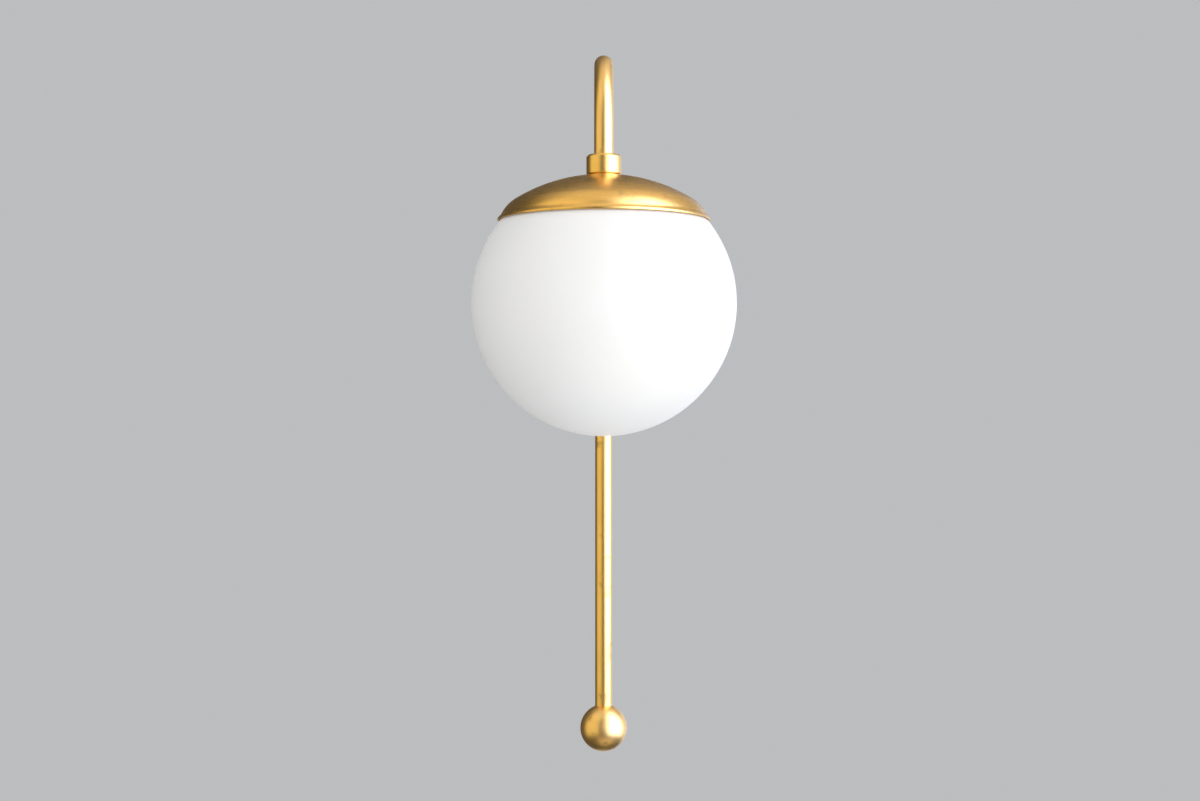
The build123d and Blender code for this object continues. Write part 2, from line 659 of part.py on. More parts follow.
bulb_radius = bulb_diameter / 2
bulb_centre = (0, socket_bottom_z - bulb_ball_gap - bulb_radius)
bulb_neck_radius = base_bore_radius - bulb_neck_gap


def envelope_outline(inset):
    """Half outline of the glass, this far inside its outer surface, as a closed wire."""
    neck = bulb_neck_radius - inset
    flare = bulb_neck_flare + inset
    ball = bulb_radius - inset
    flare_x = neck + flare
    flare_rise = sqrt((ball + flare)**2 - flare_x**2)
    flare_centre = (flare_x, bulb_centre[1] + flare_rise)
    lean = Vector(0, -1).get_angle(Vector(-flare_x, -flare_rise))
    meet = on_circle(flare_centre, flare, lean - 180)
    crown = (0, bulb_centre[1] - ball)
    with BuildLine() as outline:
        Polyline(crown, (0, base_bottom_z + bulb_neck_inset), (neck, base_bottom_z + bulb_neck_inset),
                 (neck, flare_centre[1]))
        ThreePointArc((neck, flare_centre[1]), on_circle(flare_centre, flare, (lean - 270) / 2), meet)
        ThreePointArc(meet, on_circle(bulb_centre, ball, (lean + 180) / 2), crown)
    return outline.line


with BuildPart() as bulb_envelope:
    with BuildSketch(lamp_section):
        make_face(envelope_outline(0).edges())
        make_face(envelope_outline(bulb_glass_wall).edges(), mode=Mode.SUBTRACT)
    revolve(axis=lamp_axis)
finish(bulb_envelope.part, "bulb_envelope")

# Glass stem and the four filaments that stand round it
stem_top_z = base_bottom_z + bulb_neck_inset - bulb_glass_wall
filament_bottom_z = bulb_centre[1] - filament_length / 2
filament_top_z = filament_bottom_z + filament_length
stem_bottom_z = filament_top_z
filament_radius = filament_circle / 2
stem_flange_radius = bulb_neck_radius - bulb_glass_wall - stem_flange_gap
with BuildPart() as bulb_stem:
    ring(lamp_section, lamp_axis, 0, stem_flange_radius, stem_top_z - stem_flange_thickness, stem_top_z)
    ring(lamp_section, lamp_axis, 0, stem_diameter / 2, stem_bottom_z, stem_top_z)
finish(bulb_stem.part, "bulb_stem")

with BuildPart() as led_filaments:
    with BuildSketch(Plane(origin=(0, lamp_y, filament_bottom_z), z_dir=(0, 0, 1))):
        with PolarLocations(filament_radius, filament_count):
            Circle(filament_diameter / 2)
    extrude(amount=filament_length)
finish(led_filaments.part, "led_filaments")

# Wire frame: a ring with cross wires above and below the filaments, joined up the middle
frame_floor_z = filament_bottom_z - stem_wire_diameter
frame_inner = filament_radius - stem_wire_diameter
frame_outer = filament_radius + stem_wire_diameter
spoke_length = frame_outer - stem_wire_diameter / 2
with BuildPart() as filament_frame:
    for level_z in (frame_floor_z, filament_top_z):
        with BuildSketch(Plane(origin=(0, lamp_y, level_z), z_dir=(0, 0, 1))):
            Circle(frame_outer)
            Circle(frame_inner, mode=Mode.SUBTRACT)
            with PolarLocations(0, filament_count):
                Rectangle(spoke_length, stem_wire_diameter, align=(Align.MIN, Align.CENTER))
        extrude(amount=stem_wire_diameter)
    ring(lamp_section, lamp_axis, 0, stem_diameter / 2, filament_top_z,
         filament_top_z + stem_wire_diameter, mode=Mode.SUBTRACT)
    ring(lamp_section, lamp_axis, 0, stem_wire_diameter, frame_floor_z, stem_bottom_z)
    with BuildSketch(Plane(origin=(0, lamp_y, frame_floor_z), z_dir=(0, 0, 1))):
        with PolarLocations(filament_radius, filament_count, start_angle=180 / filament_count):
            Circle(stem_wire_diameter / 2)
    extrude(amount=filament_length + stem_wire_diameter * 2)
finish(filament_frame.part, "filament_frame")

# Wall canopy: spun pan with a rounded shoulder, bored for the nipple and the two studs
stud_places = [(-stud_spacing / 2, 0), (stud_spacing / 2, 0)]
with BuildPart() as wall_canopy:
    with BuildSketch(Plane.XY):
        with BuildLine():
            shoulder_x = canopy_radius - canopy_shoulder_radius
            shoulder_y = -canopy_depth + canopy_shoulder_radius
            inner_round = canopy_shoulder_radius - canopy_wall
            outer_mid = on_circle((shoulder_x, -shoulder_y), canopy_shoulder_radius, 45)
            inner_mid = on_circle((shoulder_x, -shoulder_y), inner_round, 45)
            Line((tapped_radius, -canopy_depth), (shoulder_x, -canopy_depth))
            ThreePointArc((shoulder_x, -canopy_depth), (outer_mid[0], -outer_mid[1]),
                          (canopy_radius, shoulder_y))
            Polyline((canopy_radius, shoulder_y), (canopy_radius, 0), (canopy_bore_radius, 0),
                     (canopy_bore_radius, shoulder_y))
            ThreePointArc((canopy_bore_radius, shoulder_y), (inner_mid[0], -inner_mid[1]),
                          (shoulder_x, canopy_inner_y))
            Polyline((shoulder_x, canopy_inner_y), (tapped_radius, canopy_inner_y),
                     (tapped_radius, -canopy_depth))
        make_face()
    revolve(axis=Axis.Y)
    rim_circles = wall_canopy.edges().filter_by(GeomType.CIRCLE).group_by(Axis.Y)[-1]
    fillet(rim_circles.sort_by(SortBy.RADIUS)[-1], canopy_rim_round)
    with BuildSketch(Plane.XZ.offset(canopy_depth)):
        with Locations(*stud_places):
            Circle(stud_diameter / 2 + stud_gap)
    extrude(amount=-canopy_wall, mode=Mode.SUBTRACT)
finish(wall_canopy.part, "wall_canopy")

# Crossbar: steel strap with slots for the box screws and tapped holes for the studs
box_slot_spacing = crossbar_length - box_slot_margin * 2 - box_slot_width - box_slot_travel
with BuildPart() as crossbar:
    with BuildSketch(Plane.XZ):
        RectangleRounded(crossbar_length, crossbar_width, crossbar_corner)
        Circle(tapped_radius, mode=Mode.SUBTRACT)
        with Locations(*stud_places):
            Circle(stud_diameter / 2 + thread_gap, mode=Mode.SUBTRACT)
        with Locations((-ground_screw_offset, 0)):
            Circle(ground_screw_diameter / 2 + thread_gap, mode=Mode.SUBTRACT)
        with Locations((-box_slot_spacing / 2, 0), (box_slot_spacing / 2, 0)):
            SlotCenterToCenter(box_slot_travel, box_slot_width, mode=Mode.SUBTRACT)
    extrude(amount=crossbar_thickness)
finish(crossbar.part, "crossbar")

# Studs that hold the canopy, their locknuts on the crossbar and the ball nuts in front
with BuildPart() as canopy_studs:
    with BuildSketch(Plane.XZ):
        with Locations(*stud_places):
            Circle(stud_diameter / 2)
    extrude(amount=canopy_depth + cap_nut_thread_engaged)
finish(canopy_studs.part, "canopy_studs")

with BuildPart() as stud_nuts:
    with BuildSketch(Plane.XZ.offset(crossbar_thickness)):
        with Locations(*stud_places):
            RegularPolygon(stud_nut_across_flats / 2, 6, major_radius=False)
            Circle(stud_diameter / 2 + thread_gap, mode=Mode.SUBTRACT)
    extrude(amount=stud_nut_thickness)
finish(stud_nuts.part, "stud_nuts")

cap_nut_radius = cap_nut_diameter / 2
cap_nut_neck_radius = cap_nut_neck_diameter / 2
cap_nut_centre_y = -canopy_depth - cap_nut_neck_height - sqrt(cap_nut_radius**2 - cap_nut_neck_radius**2)
with BuildPart() as canopy_ball_nuts:
    for stud_x, stud_z in stud_places:
        with Locations((stud_x, cap_nut_centre_y, stud_z)):
            Sphere(cap_nut_radius)
    split(bisect_by=Plane.XZ.offset(canopy_depth), keep=Keep.TOP)
    with BuildSketch(Plane.XZ.offset(canopy_depth)):
        with Locations(*stud_places):
            Circle(cap_nut_neck_radius)
    extrude(amount=cap_nut_neck_height + cap_nut_radius / 2)
    with BuildSketch(Plane.XZ.offset(canopy_depth)):
        with Locations(*stud_places):
            Circle(stud_diameter / 2 + thread_gap)
    extrude(amount=cap_nut_thread_engaged + cap_nut_hole_gap, mode=Mode.SUBTRACT)
finish(canopy_ball_nuts.part, "canopy_ball_nuts")

# Nipple, washer and nut that hold the hub to the canopy
with BuildPart() as canopy_nipple:
    ring(Plane.XY, Axis.Y, pipe_bore_radius, thread_radius, nipple_front_y, nipple_rear_y)
finish(canopy_nipple.part, "canopy_nipple")

with BuildPart() as canopy_washer:
    ring(Plane.XY, Axis.Y, tapped_radius, canopy_washer_diameter / 2, canopy_inner_y, canopy_nut_y)
finish(canopy_washer.part, "canopy_washer")

with BuildPart() as canopy_nut:
    with BuildSketch(Plane.XZ.offset(-canopy_nut_y)):
        RegularPolygon(pipe_nut_across_flats / 2, 6, major_radius=False)
        Circle(tapped_radius, mode=Mode.SUBTRACT)
    extrude(amount=-pipe_nut_thickness)
finish(canopy_nut.part, "canopy_nut")

# Plastic bushings that guard the leads at the ends of both nipples
bushing_radius = pipe_bore_radius - bushing_gap
bushing_flange_radius = bushing_flange_diameter / 2
with BuildPart() as lead_bushings:
    ring(Plane.XY, Axis.Y, bushing_bore_radius, bushing_radius,
         nipple_rear_y - bushing_length, nipple_rear_y)
    ring(Plane.XY, Axis.Y, bushing_bore_radius, bushing_flange_radius,
         nipple_rear_y, nipple_rear_y + bushing_flange_thickness)
    ring(lamp_section, lamp_axis, bushing_bore_radius, bushing_radius,
         neck_bottom_z, neck_bottom_z + bushing_length)
    ring(lamp_section, lamp_axis, bushing_bore_radius, bushing_flange_radius,
         neck_bottom_z - bushing_flange_thickness, neck_bottom_z)
finish(lead_bushings.part, "lead_bushings")

# Ground screw in the crossbar
eye_front = crossbar_thickness + ground_lead_diameter
with BuildPart() as ground_screw:
    with BuildSketch(Plane.XZ):
        with Locations((-ground_screw_offset, 0)):
            Circle(ground_screw_diameter / 2)
    extrude(amount=eye_front)
    with BuildSketch(Plane.XZ.offset(eye_front)):
        with Locations((-ground_screw_offset, 0)):
            Circle(ground_head_diameter / 2)
    extrude(amount=ground_head_height)
    with BuildSketch(Plane.XZ.offset(eye_front + ground_head_height)):
        with Locations((-ground_screw_offset, 0)):
            Rectangle(ground_head_diameter, screw_slot_width)
    extrude(amount=-screw_slot_depth, mode=Mode.SUBTRACT)
finish(ground_screw.part, "ground_screw")

# Leads: from the terminals up the nipple, round the arm, through the hub and into the canopy
lead_level_z = strap_top_z + lead_entry_height
lead_crest_z = crest_z - lead_bend_ease
lead_bend_radius = bend_radius - lead_bend_ease * 2
lead_mouth_z = connector_height + lead_grip


def lead_route(side):
    """Corners of one lead's route and the radius of each turn."""
    x = side * lead_offset
    corners = [
        (side * block_inner_x, lamp_y, lead_level_z),
        (x, lamp_y, lead_level_z),
        (x, lamp_y, lead_crest_z),
        (x, rod_y, lead_crest_z),
        (x, rod_y, 0),
        (x, connector_y, 0),
        (side * connector_spread, connector_y, connector_spread - lead_offset),
        (side * connector_spread, connector_y, lead_mouth_z),
    ]
    turns = [lead_socket_turn, lead_bend_radius, lead_bend_radius, lead_hub_turn,
             lead_canopy_turn, lead_side_turn]
    return corners, turns


for lead_name, side in (("hot_lead", 1), ("neutral_lead", -1)):
    corners, turns = lead_route(side)
    with BuildPart() as lead:
        with BuildLine() as lead_line:
            FilletPolyline(*corners, radius=turns)
        with BuildSketch(Plane(origin=corners[0], z_dir=(-side, 0, 0))):
            Circle(lead_diameter / 2)
        sweep()
    route_length = sum(edge.length for edge in lead_line.edges())
    section_area = pi * (lead_diameter / 2)**2
    print(f"{lead_name}: {route_length:.1f} mm long, turns {turns}, "
          f"volume over section times length {lead.part.volume / (section_area * route_length):.4f}")
    finish(lead.part, lead_name)

# Ground lead: an eye under the ground screw and a bare wire down to its own connector
ground_mouth_z = -connector_height - lead_grip
wire_y = -crossbar_thickness - ground_lead_diameter / 2
eye_edge_z = -ground_eye_diameter / 2
wire_start_z = eye_edge_z + ground_lead_diameter / 2
wire_drop = ground_mouth_z - wire_start_z
upper_share, lower_share = ground_corner_shares
ground_corners = [
    (-ground_screw_offset, wire_y, wire_start_z),
    (-ground_screw_offset, wire_y, wire_start_z + wire_drop * upper_share),
    (-ground_screw_offset, connector_y, wire_start_z + wire_drop * lower_share),
    (-ground_screw_offset, connector_y, ground_mouth_z),
]
with BuildPart() as ground_lead:
    with BuildLine():
        FilletPolyline(*ground_corners, radius=ground_lead_turn)
    with BuildSketch(Plane(origin=ground_corners[0], z_dir=(0, 0, -1))):
        Circle(ground_lead_diameter / 2)
    sweep()
    with BuildSketch(Plane.XZ.offset(crossbar_thickness)):
        with Locations((-ground_screw_offset, 0)):
            Circle(ground_eye_diameter / 2)
            Circle(ground_screw_diameter / 2 + thread_gap, mode=Mode.SUBTRACT)
    extrude(amount=ground_lead_diameter)
finish(ground_lead.part, "ground_lead")

# Twist-on connectors on the ends of the three leads
connector_places = [
    (connector_spread, connector_height, 1, lead_diameter),
    (-connector_spread, connector_height, 1, lead_diameter),
    (-ground_screw_offset, -connector_height, -1, ground_lead_diameter),
]
with BuildPart() as wire_connectors:
    for x, mouth_z, way, wire_diameter in connector_places:
        mouth = Plane(origin=(x, connector_y, mouth_z), z_dir=(0, 0, way))
        with BuildSketch(mouth):
            Circle(connector_diameter / 2)
        with BuildSketch(mouth.offset(connector_length)):
            Circle(connector_tip_diameter / 2)
        loft()
        with BuildSketch(mouth):
            Circle(wire_diameter / 2 + bushing_gap)
        extrude(amount=lead_grip, mode=Mode.SUBTRACT)
finish(wire_connectors.part, "wire_connectors")
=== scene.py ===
"""Looks of the wall sconce: fine shapes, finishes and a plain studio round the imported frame.

Metres, in the frame of the construction model: +Z is up and the lamp stands out from the wall
along -Y. The globe's centre is level with the origin.
"""

import logging
import math
from abc import ABC, abstractmethod
from collections.abc import Iterator, Sequence
from contextlib import contextmanager
from dataclasses import dataclass
from enum import Enum
from itertools import pairwise
from typing import ClassVar

import bpy
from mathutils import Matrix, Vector


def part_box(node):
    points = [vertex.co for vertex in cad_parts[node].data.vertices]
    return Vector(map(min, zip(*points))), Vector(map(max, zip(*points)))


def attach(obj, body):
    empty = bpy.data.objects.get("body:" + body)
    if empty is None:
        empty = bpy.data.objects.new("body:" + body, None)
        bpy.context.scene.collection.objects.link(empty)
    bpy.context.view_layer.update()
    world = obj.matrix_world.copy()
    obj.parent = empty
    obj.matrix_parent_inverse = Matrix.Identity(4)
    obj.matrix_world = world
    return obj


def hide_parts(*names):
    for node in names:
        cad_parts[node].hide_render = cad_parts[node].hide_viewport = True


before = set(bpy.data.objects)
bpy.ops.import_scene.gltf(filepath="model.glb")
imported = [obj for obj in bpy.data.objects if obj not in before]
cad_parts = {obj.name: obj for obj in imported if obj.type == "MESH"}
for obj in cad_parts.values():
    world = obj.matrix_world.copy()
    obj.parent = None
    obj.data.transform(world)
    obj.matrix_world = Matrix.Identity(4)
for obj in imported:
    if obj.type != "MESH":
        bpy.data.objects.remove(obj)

MM = 0.001
WELD = 1e-6
FIXTURE = "fixture"
log = logging.getLogger("sconce")

Piece = bpy.types.Object
Profile = list[tuple[float, float]]
Corner = tuple[float, float, float]
Colour = tuple[float, float, float]
Point = Sequence[float]
Socket = bpy.types.NodeSocket


# Places read from the frame


@dataclass(frozen=True)
class Extent:
    """The box of one node of the frame, at rest."""

    low: Vector
    high: Vector

    @classmethod
    def of(cls, node: str) -> "Extent":
        """Read the box of a node by its name."""
        return cls(*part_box(node))

    @property
    def middle(self) -> Vector:
        """Centre of the box."""
        return (self.low + self.high) / 2

    @property
    def size(self) -> Vector:
        """Width, depth and height of the box."""
        return self.high - self.low


# Outlines


def arc(centre: tuple[float, float], radius: float, start: float, end: float, steps: int) -> Profile:
    """Points of an arc in equal steps, its angles in degrees from the outward direction towards up."""
    angles = [math.radians(start + (end - start) * step / steps) for step in range(steps + 1)]
    return [(centre[0] + radius * math.cos(turn), centre[1] + radius * math.sin(turn)) for turn in angles]


def rounded(corners: Sequence[Corner], steps: int = 5, closed: bool = True) -> Profile:
    """Outline through corners that are eased by arcs.

    Args:
        corners: radius, height and easing radius of each corner, in order. Zero keeps a corner sharp.
        steps: steps of each easing arc.
        closed: whether the outline comes back to its first point.

    Returns:
        The outline's points.
    """
    outline: Profile = []
    for index, (across, up, ease) in enumerate(corners):
        here = Vector((across, up))
        if ease == 0:
            outline.append((across, up))
            continue
        into = (Vector(corners[index - 1][:2]) - here).normalized()
        out = (Vector(corners[(index + 1) % len(corners)][:2]) - here).normalized()
        half = into.angle(out) / 2
        centre = here + (into + out).normalized() * ease / math.sin(half)
        first = here + into * ease / math.tan(half) - centre
        last = here + out * ease / math.tan(half) - centre
        start = math.degrees(math.atan2(first.y, first.x))
        sweep = (math.degrees(math.atan2(last.y, last.x)) - start + 180) % 360 - 180
        outline += arc(tuple(centre), ease, start, start + sweep, steps)
    if closed:
        outline.append(outline[0])
    return outline


# Modelling with operators


def pick(*pieces: Piece) -> None:
    """Select these pieces alone and make the first of them active.

    Args:
        pieces: the objects to select. With none of them, nothing stays selected.
    """
    bpy.ops.object.select_all(action="DESELECT")
    for piece in pieces:
        piece.select_set(True)
    if pieces:
        bpy.context.view_layer.objects.active = pieces[0]


@contextmanager
def editing(piece: Piece) -> Iterator[None]:
    """Hold a piece in edit mode for the length of a with block.

    Args:
        piece: the mesh object to edit.

    Yields:
        Nothing.
    """
    pick(piece)
    bpy.ops.object.mode_set(mode="EDIT")
    bpy.ops.mesh.select_all(action="SELECT")
    yield
    bpy.ops.object.mode_set(mode="OBJECT")


def weld(piece: Piece) -> None:
    """Merge the doubled points of a piece and turn its faces outwards.

    Args:
        piece: the piece to mend.
    """
    with editing(piece):
        bpy.ops.mesh.remove_doubles(threshold=WELD)
        bpy.ops.mesh.normals_make_consistent(inside=False)


def settle(piece: Piece) -> None:
    """Put a piece's place into its mesh, so that its object sits at the origin."""
    pick(piece)
    bpy.ops.object.transform_apply(location=True, rotation=True, scale=True)


def turned(name: str, profile: Profile, segments: int = 96) -> Piece:
    """Turn a profile round the Z axis.

    Args:
        name: name of the new piece.
        profile: radius and height of each point, from one pole to the other or round a closed wall.
        segments: steps round the axis.

    Returns:
        The new piece, closed and with its faces outwards.
    """
    pick()
    bpy.ops.mesh.primitive_plane_add(size=MM)
    piece = bpy.context.active_object
    piece.name = name
    with editing(piece):
        bpy.ops.mesh.merge(type="CENTER")
        bpy.ops.transform.translate(value=(profile[0][0], 0, profile[0][1]))
        for here, there in pairwise(profile):
            step = (there[0] - here[0], 0, there[1] - here[1])
            bpy.ops.mesh.extrude_region_move(TRANSFORM_OT_translate={"value": step})
        bpy.ops.mesh.select_all(action="SELECT")
        bpy.ops.mesh.spin(steps=segments, angle=math.tau, center=(0, 0, 0), axis=(0, 0, 1))
    weld(piece)
    return piece


def moved(piece: Piece, place: Point, outwards: bool = False) -> Piece:
    """Set a piece in its place.

    Args:
        piece: a piece modelled on the Z axis.
        place: where its origin goes.
        outwards: lay its Z axis along -Y, away from the wall.

    Returns:
        The same piece.
    """
    piece.location = place
    piece.rotation_euler = (math.pi / 2 if outwards else 0, 0, 0)
    settle(piece)
    return piece


def paired(name: str, piece: Piece, shift: Point) -> Piece:
    """Copy a piece and join the two under a new name.

    Args:
        name: name of the pair.
        piece: the piece to copy.
        shift: how far the copy stands from it.

    Returns:
        The pair.
    """
    pick(piece)
    bpy.ops.object.duplicate_move(TRANSFORM_OT_translate={"value": tuple(shift)})
    copy = bpy.context.active_object
    settle(copy)
    return joined(name, [piece, copy])


def joined(name: str, pieces: Sequence[Piece]) -> Piece:
    """Join several solids into one piece under a new name.

    Args:
        name: name of the joined piece.
        pieces: the solids, of which the first stays.

    Returns:
        The joined piece.
    """
    pick(*pieces)
    bpy.ops.object.join()
    pieces[0].name = name
    return pieces[0]


def combined(piece: Piece, tool: Piece, operation: str) -> Piece:
    """Cut a piece with a tool solid, or merge the tool into it.

    Args:
        piece: the piece that stays.
        tool: the solid that is used up.
        operation: DIFFERENCE, UNION or INTERSECT.

    Returns:
        The piece.
    """
    pick(piece)
    change = piece.modifiers.new(operation.lower(), "BOOLEAN")
    change.operation = operation
    change.solver = "EXACT"
    change.object = tool
    bpy.ops.object.modifier_apply(modifier=change.name)
    bpy.data.objects.remove(tool)
    return piece


def drilled(piece: Piece, radius: float, low: float, high: float, place: Point, outwards: bool = False,
            segments: int = 64) -> Piece:
    """Drill a round hole along an axis through a place, from low to high as measured from that place."""
    drill = turned("drill", [(0, low), (radius, low), (radius, high), (0, high)], segments)
    return combined(piece, moved(drill, place, outwards), "DIFFERENCE")


@dataclass(frozen=True)
class Thread:
    """A right-handed thread rolled into a turned wall."""

    pitch: float
    depth: float
    run_out: float
    rings_per_turn: int = 8

    def wave(self, turn: float, height: float, low: float, high: float) -> float:
        """How far the thread stands out at a point of the wall.

        Args:
            turn: angle round the axis, in radians.
            height: height of the point.
            low: lower end of the thread.
            high: upper end of the thread.

        Returns:
            A share from 0, the root, to 1, the crest.
        """
        if not low < height < high:
            return 0.0
        fade = min(1.0, (height - low) / self.run_out, (high - height) / self.run_out)
        return fade * (1 + math.cos(turn - math.tau * height / self.pitch)) / 2

    def rings(self, low: float, high: float) -> list[float]:
        """Heights of the rings that the thread needs between two heights, both included."""
        count = max(2, round((high - low) / self.pitch * self.rings_per_turn))
        return [low + (high - low) * ring / count for ring in range(count + 1)]

    def roll(self, piece: Piece, root: float, low: float, high: float) -> None:
        """Raise the thread on the wall of a piece that is turned on the Z axis.

        Args:
            piece: the turned piece.
            root: radius of the wall before the thread is raised.
            low: lower end of the thread.
            high: upper end.
        """
        near = WELD * 10
        for point in piece.data.vertices:
            across = math.hypot(point.co.x, point.co.y)
            if abs(across - root) > near:
                continue
            raised = self.depth * self.wave(math.atan2(point.co.y, point.co.x), point.co.z, low, high)
            point.co.x *= (across + raised) / across
            point.co.y *= (across + raised) / across


STUD_THREAD = Thread(pitch=0.794 * MM, depth=0.35 * MM, run_out=0.4 * MM)
LAMP_THREAD = Thread(pitch=3.629 * MM, depth=0.8 * MM, run_out=1.8 * MM, rings_per_turn=10)


@dataclass(frozen=True)
class LampPipe:
    """The threaded pipe of the lamp and what screws on it."""

    tapped_radius: float = 4.9 * MM
    thread_gap: float = 0.05 * MM
    bore: float = 3.3 * MM
    nut_across_flats: float = 14.3 * MM
    thread: Thread = Thread(pitch=0.941 * MM, depth=0.45 * MM, run_out=0.5 * MM)

    @property
    def root(self) -> float:
        """Radius of the pipe at the thread's root."""
        return self.tapped_radius - self.thread_gap - self.thread.depth

    def nipple(self, name: str, low: float, high: float) -> Piece:
        """A length of pipe with its thread from end to end, on the Z axis.

        Args:
            name: name of the piece.
            low: its lower end.
            high: its upper end.

        Returns:
            The nipple.
        """
        rings = [(self.root, height) for height in self.thread.rings(low, high)]
        piece = turned(name, [*rings, (self.bore, high), (self.bore, low), rings[0]], segments=56)
        self.thread.roll(piece, self.root, low, high)
        return piece


PIPE = LampPipe()


@dataclass(frozen=True)
class HexNut:
    """A hexagon nut on the Z axis, from Z zero up, with turned-off corners and an eased hole."""

    across_flats: float
    thickness: float
    bore: float
    corner_fall: float = 0.6
    flat_share: float = 0.97
    overlap: float = 1.02
    ease: float = 0.3 * MM

    def build(self, name: str) -> Piece:
        """Model the nut.

        Args:
            name: name of the piece.

        Returns:
            The nut.
        """
        flat, corner, top = self.across_flats / 2, self.across_flats / math.sqrt(3), self.thickness
        pick()
        bpy.ops.mesh.primitive_cylinder_add(vertices=6, radius=corner, depth=top, location=(0, 0, top / 2),
                                            rotation=(0, 0, math.pi / 6))
        nut = bpy.context.active_object
        nut.name = name
        settle(nut)
        fall, face, rim = (corner - flat) * self.corner_fall, flat * self.flat_share, corner * self.overlap
        lens = [(0, 0), (face, 0), (rim, fall), (rim, top - fall), (face, top), (0, top)]
        combined(nut, turned("lens", lens, segments=64), "INTERSECT")
        ease, wide = self.ease, self.bore + self.ease * 2
        drill = [(0, -ease), (wide, -ease), (self.bore, ease), (self.bore, top - ease), (wide, top + ease),
                 (0, top + ease)]
        return combined(nut, turned("drill", drill, segments=48), "DIFFERENCE")


def washer(name: str, inner: float, outer: float, thickness: float) -> Piece:
    """A stamped washer on the Z axis, from Z zero up.

    Args:
        name: name of the piece.
        inner: radius of its hole.
        outer: its outer radius.
        thickness: its thickness.

    Returns:
        The washer, with eased edges.
    """
    ease_share = 0.3
    ease = thickness * ease_share
    corners = [(inner, 0, ease), (outer, 0, ease), (outer, thickness, ease), (inner, thickness, ease)]
    return turned(name, rounded(corners, steps=3), segments=64)


# Shader building


class Graph:
    """Short forms for adding and joining the nodes of one tree."""

    noise_low: ClassVar[float] = 0.3
    noise_high: ClassVar[float] = 0.7

    def __init__(self, tree: bpy.types.NodeTree) -> None:
        """Keep the tree that the nodes go into."""
        self.tree = tree

    def node(self, kind: str, **settings: object) -> bpy.types.Node:
        """Add a node.

        Args:
            kind: the node's type name, without its ShaderNode prefix.
            settings: attributes to set on it.

        Returns:
            The node.
        """
        made = self.tree.nodes.new(f"ShaderNode{kind}")
        for name, value in settings.items():
            setattr(made, name, value)
        return made

    def feed(self, target: Socket, value: Socket | float | Point) -> None:
        """Join a socket to an input, or set the input to a constant.

        Args:
            target: the input.
            value: the socket or the constant. A colour needs no fourth value.
        """
        if isinstance(value, bpy.types.NodeSocket):
            self.tree.links.new(value, target)
        elif target.type == "RGBA":
            target.default_value = (*value, 1.0)
        else:
            target.default_value = value

    def value(self, kind: str, *entries: Socket | float | Point | None, output: int = 0,
              **settings: object) -> Socket:
        """Add a node, feed its inputs in their order and give one of its outputs.

        Args:
            kind: the node's type name, without its ShaderNode prefix.
            entries: a socket or a constant for each input. None leaves an input as it is.
            output: place of the wanted output.
            settings: attributes to set on the node.

        Returns:
            The output.
        """
        made = self.node(kind, **settings)
        for slot, entry in zip(made.inputs, entries):
            if entry is not None:
                self.feed(slot, entry)
        return made.outputs[output]

    def math(self, operation: str, first: Socket | float, second: Socket | float = 0.0) -> Socket:
        """Work out one or two values with a Math node."""
        return self.value("Math", first, second, operation=operation)

    def length(self, first: Socket, second: Socket) -> Socket:
        """Length of the hypotenuse over two sides."""
        squares = [self.math("MULTIPLY", side, side) for side in (first, second)]
        return self.math("SQRT", self.math("ADD", *squares))

    def scaled(self, vector: Socket | Point, factor: Socket | float) -> Socket:
        """Scale a vector."""
        return self.value("VectorMath", vector, None, None, factor, operation="SCALE")

    def vector(self, *parts: Socket | float) -> Socket:
        """Make a vector from its three parts."""
        return self.value("CombineXYZ", *parts)

    def parts(self, vector: Socket) -> Sequence[Socket]:
        """Split a vector into its three parts."""
        return self.value("SeparateXYZ", vector).node.outputs

    def noise(self, vector: Socket, scale: float, detail: float, roughness: float) -> Socket:
        """Value of a noise texture."""
        return self.value("TexNoise", vector, None, scale, detail, roughness)

    def spread(self, value: Socket, low: float, high: float, to_low: float = 0.0,
               to_high: float = 1.0) -> Socket:
        """Map a value from one range to another, held at both ends."""
        return self.value("MapRange", value, low, high, to_low, to_high, clamp=True)

    def level(self, noise: Socket, to_low: float = 0.0, to_high: float = 1.0) -> Socket:
        """Map the range that most of a noise lies in to another range."""
        return self.spread(noise, self.noise_low, self.noise_high, to_low, to_high)

    def blend(self, share: Socket, first: Socket | Colour, second: Socket | Colour) -> Socket:
        """Mix two colours by a share."""
        return self.value("Mix", share, *[None] * 5, first, second, output=2, data_type="RGBA")

    def placed(self, centre: Point = (0, 0, 0), outwards: bool = False) -> Socket:
        """Object coordinates about a centre.

        Args:
            centre: point of the frame that becomes the pattern's origin.
            outwards: turn the pattern so that its Z axis points away from the wall.

        Returns:
            The coordinates.
        """
        own = self.node("TexCoord").outputs["Object"]
        shifted = self.value("Mapping", own, [-value for value in centre])
        return self.value("Mapping", shifted, None, (-math.pi / 2 if outwards else 0, 0, 0))

    def group(self, tree: bpy.types.NodeTree, **inputs: Socket | float) -> Sequence[Socket]:
        """Place a node group.

        Args:
            tree: the group.
            inputs: values or sockets for its named inputs.

        Returns:
            The group's outputs.
        """
        made = self.node("Group")
        made.node_tree = tree
        for name, value in inputs.items():
            self.feed(made.inputs[name.capitalize()], value)
        return made.outputs


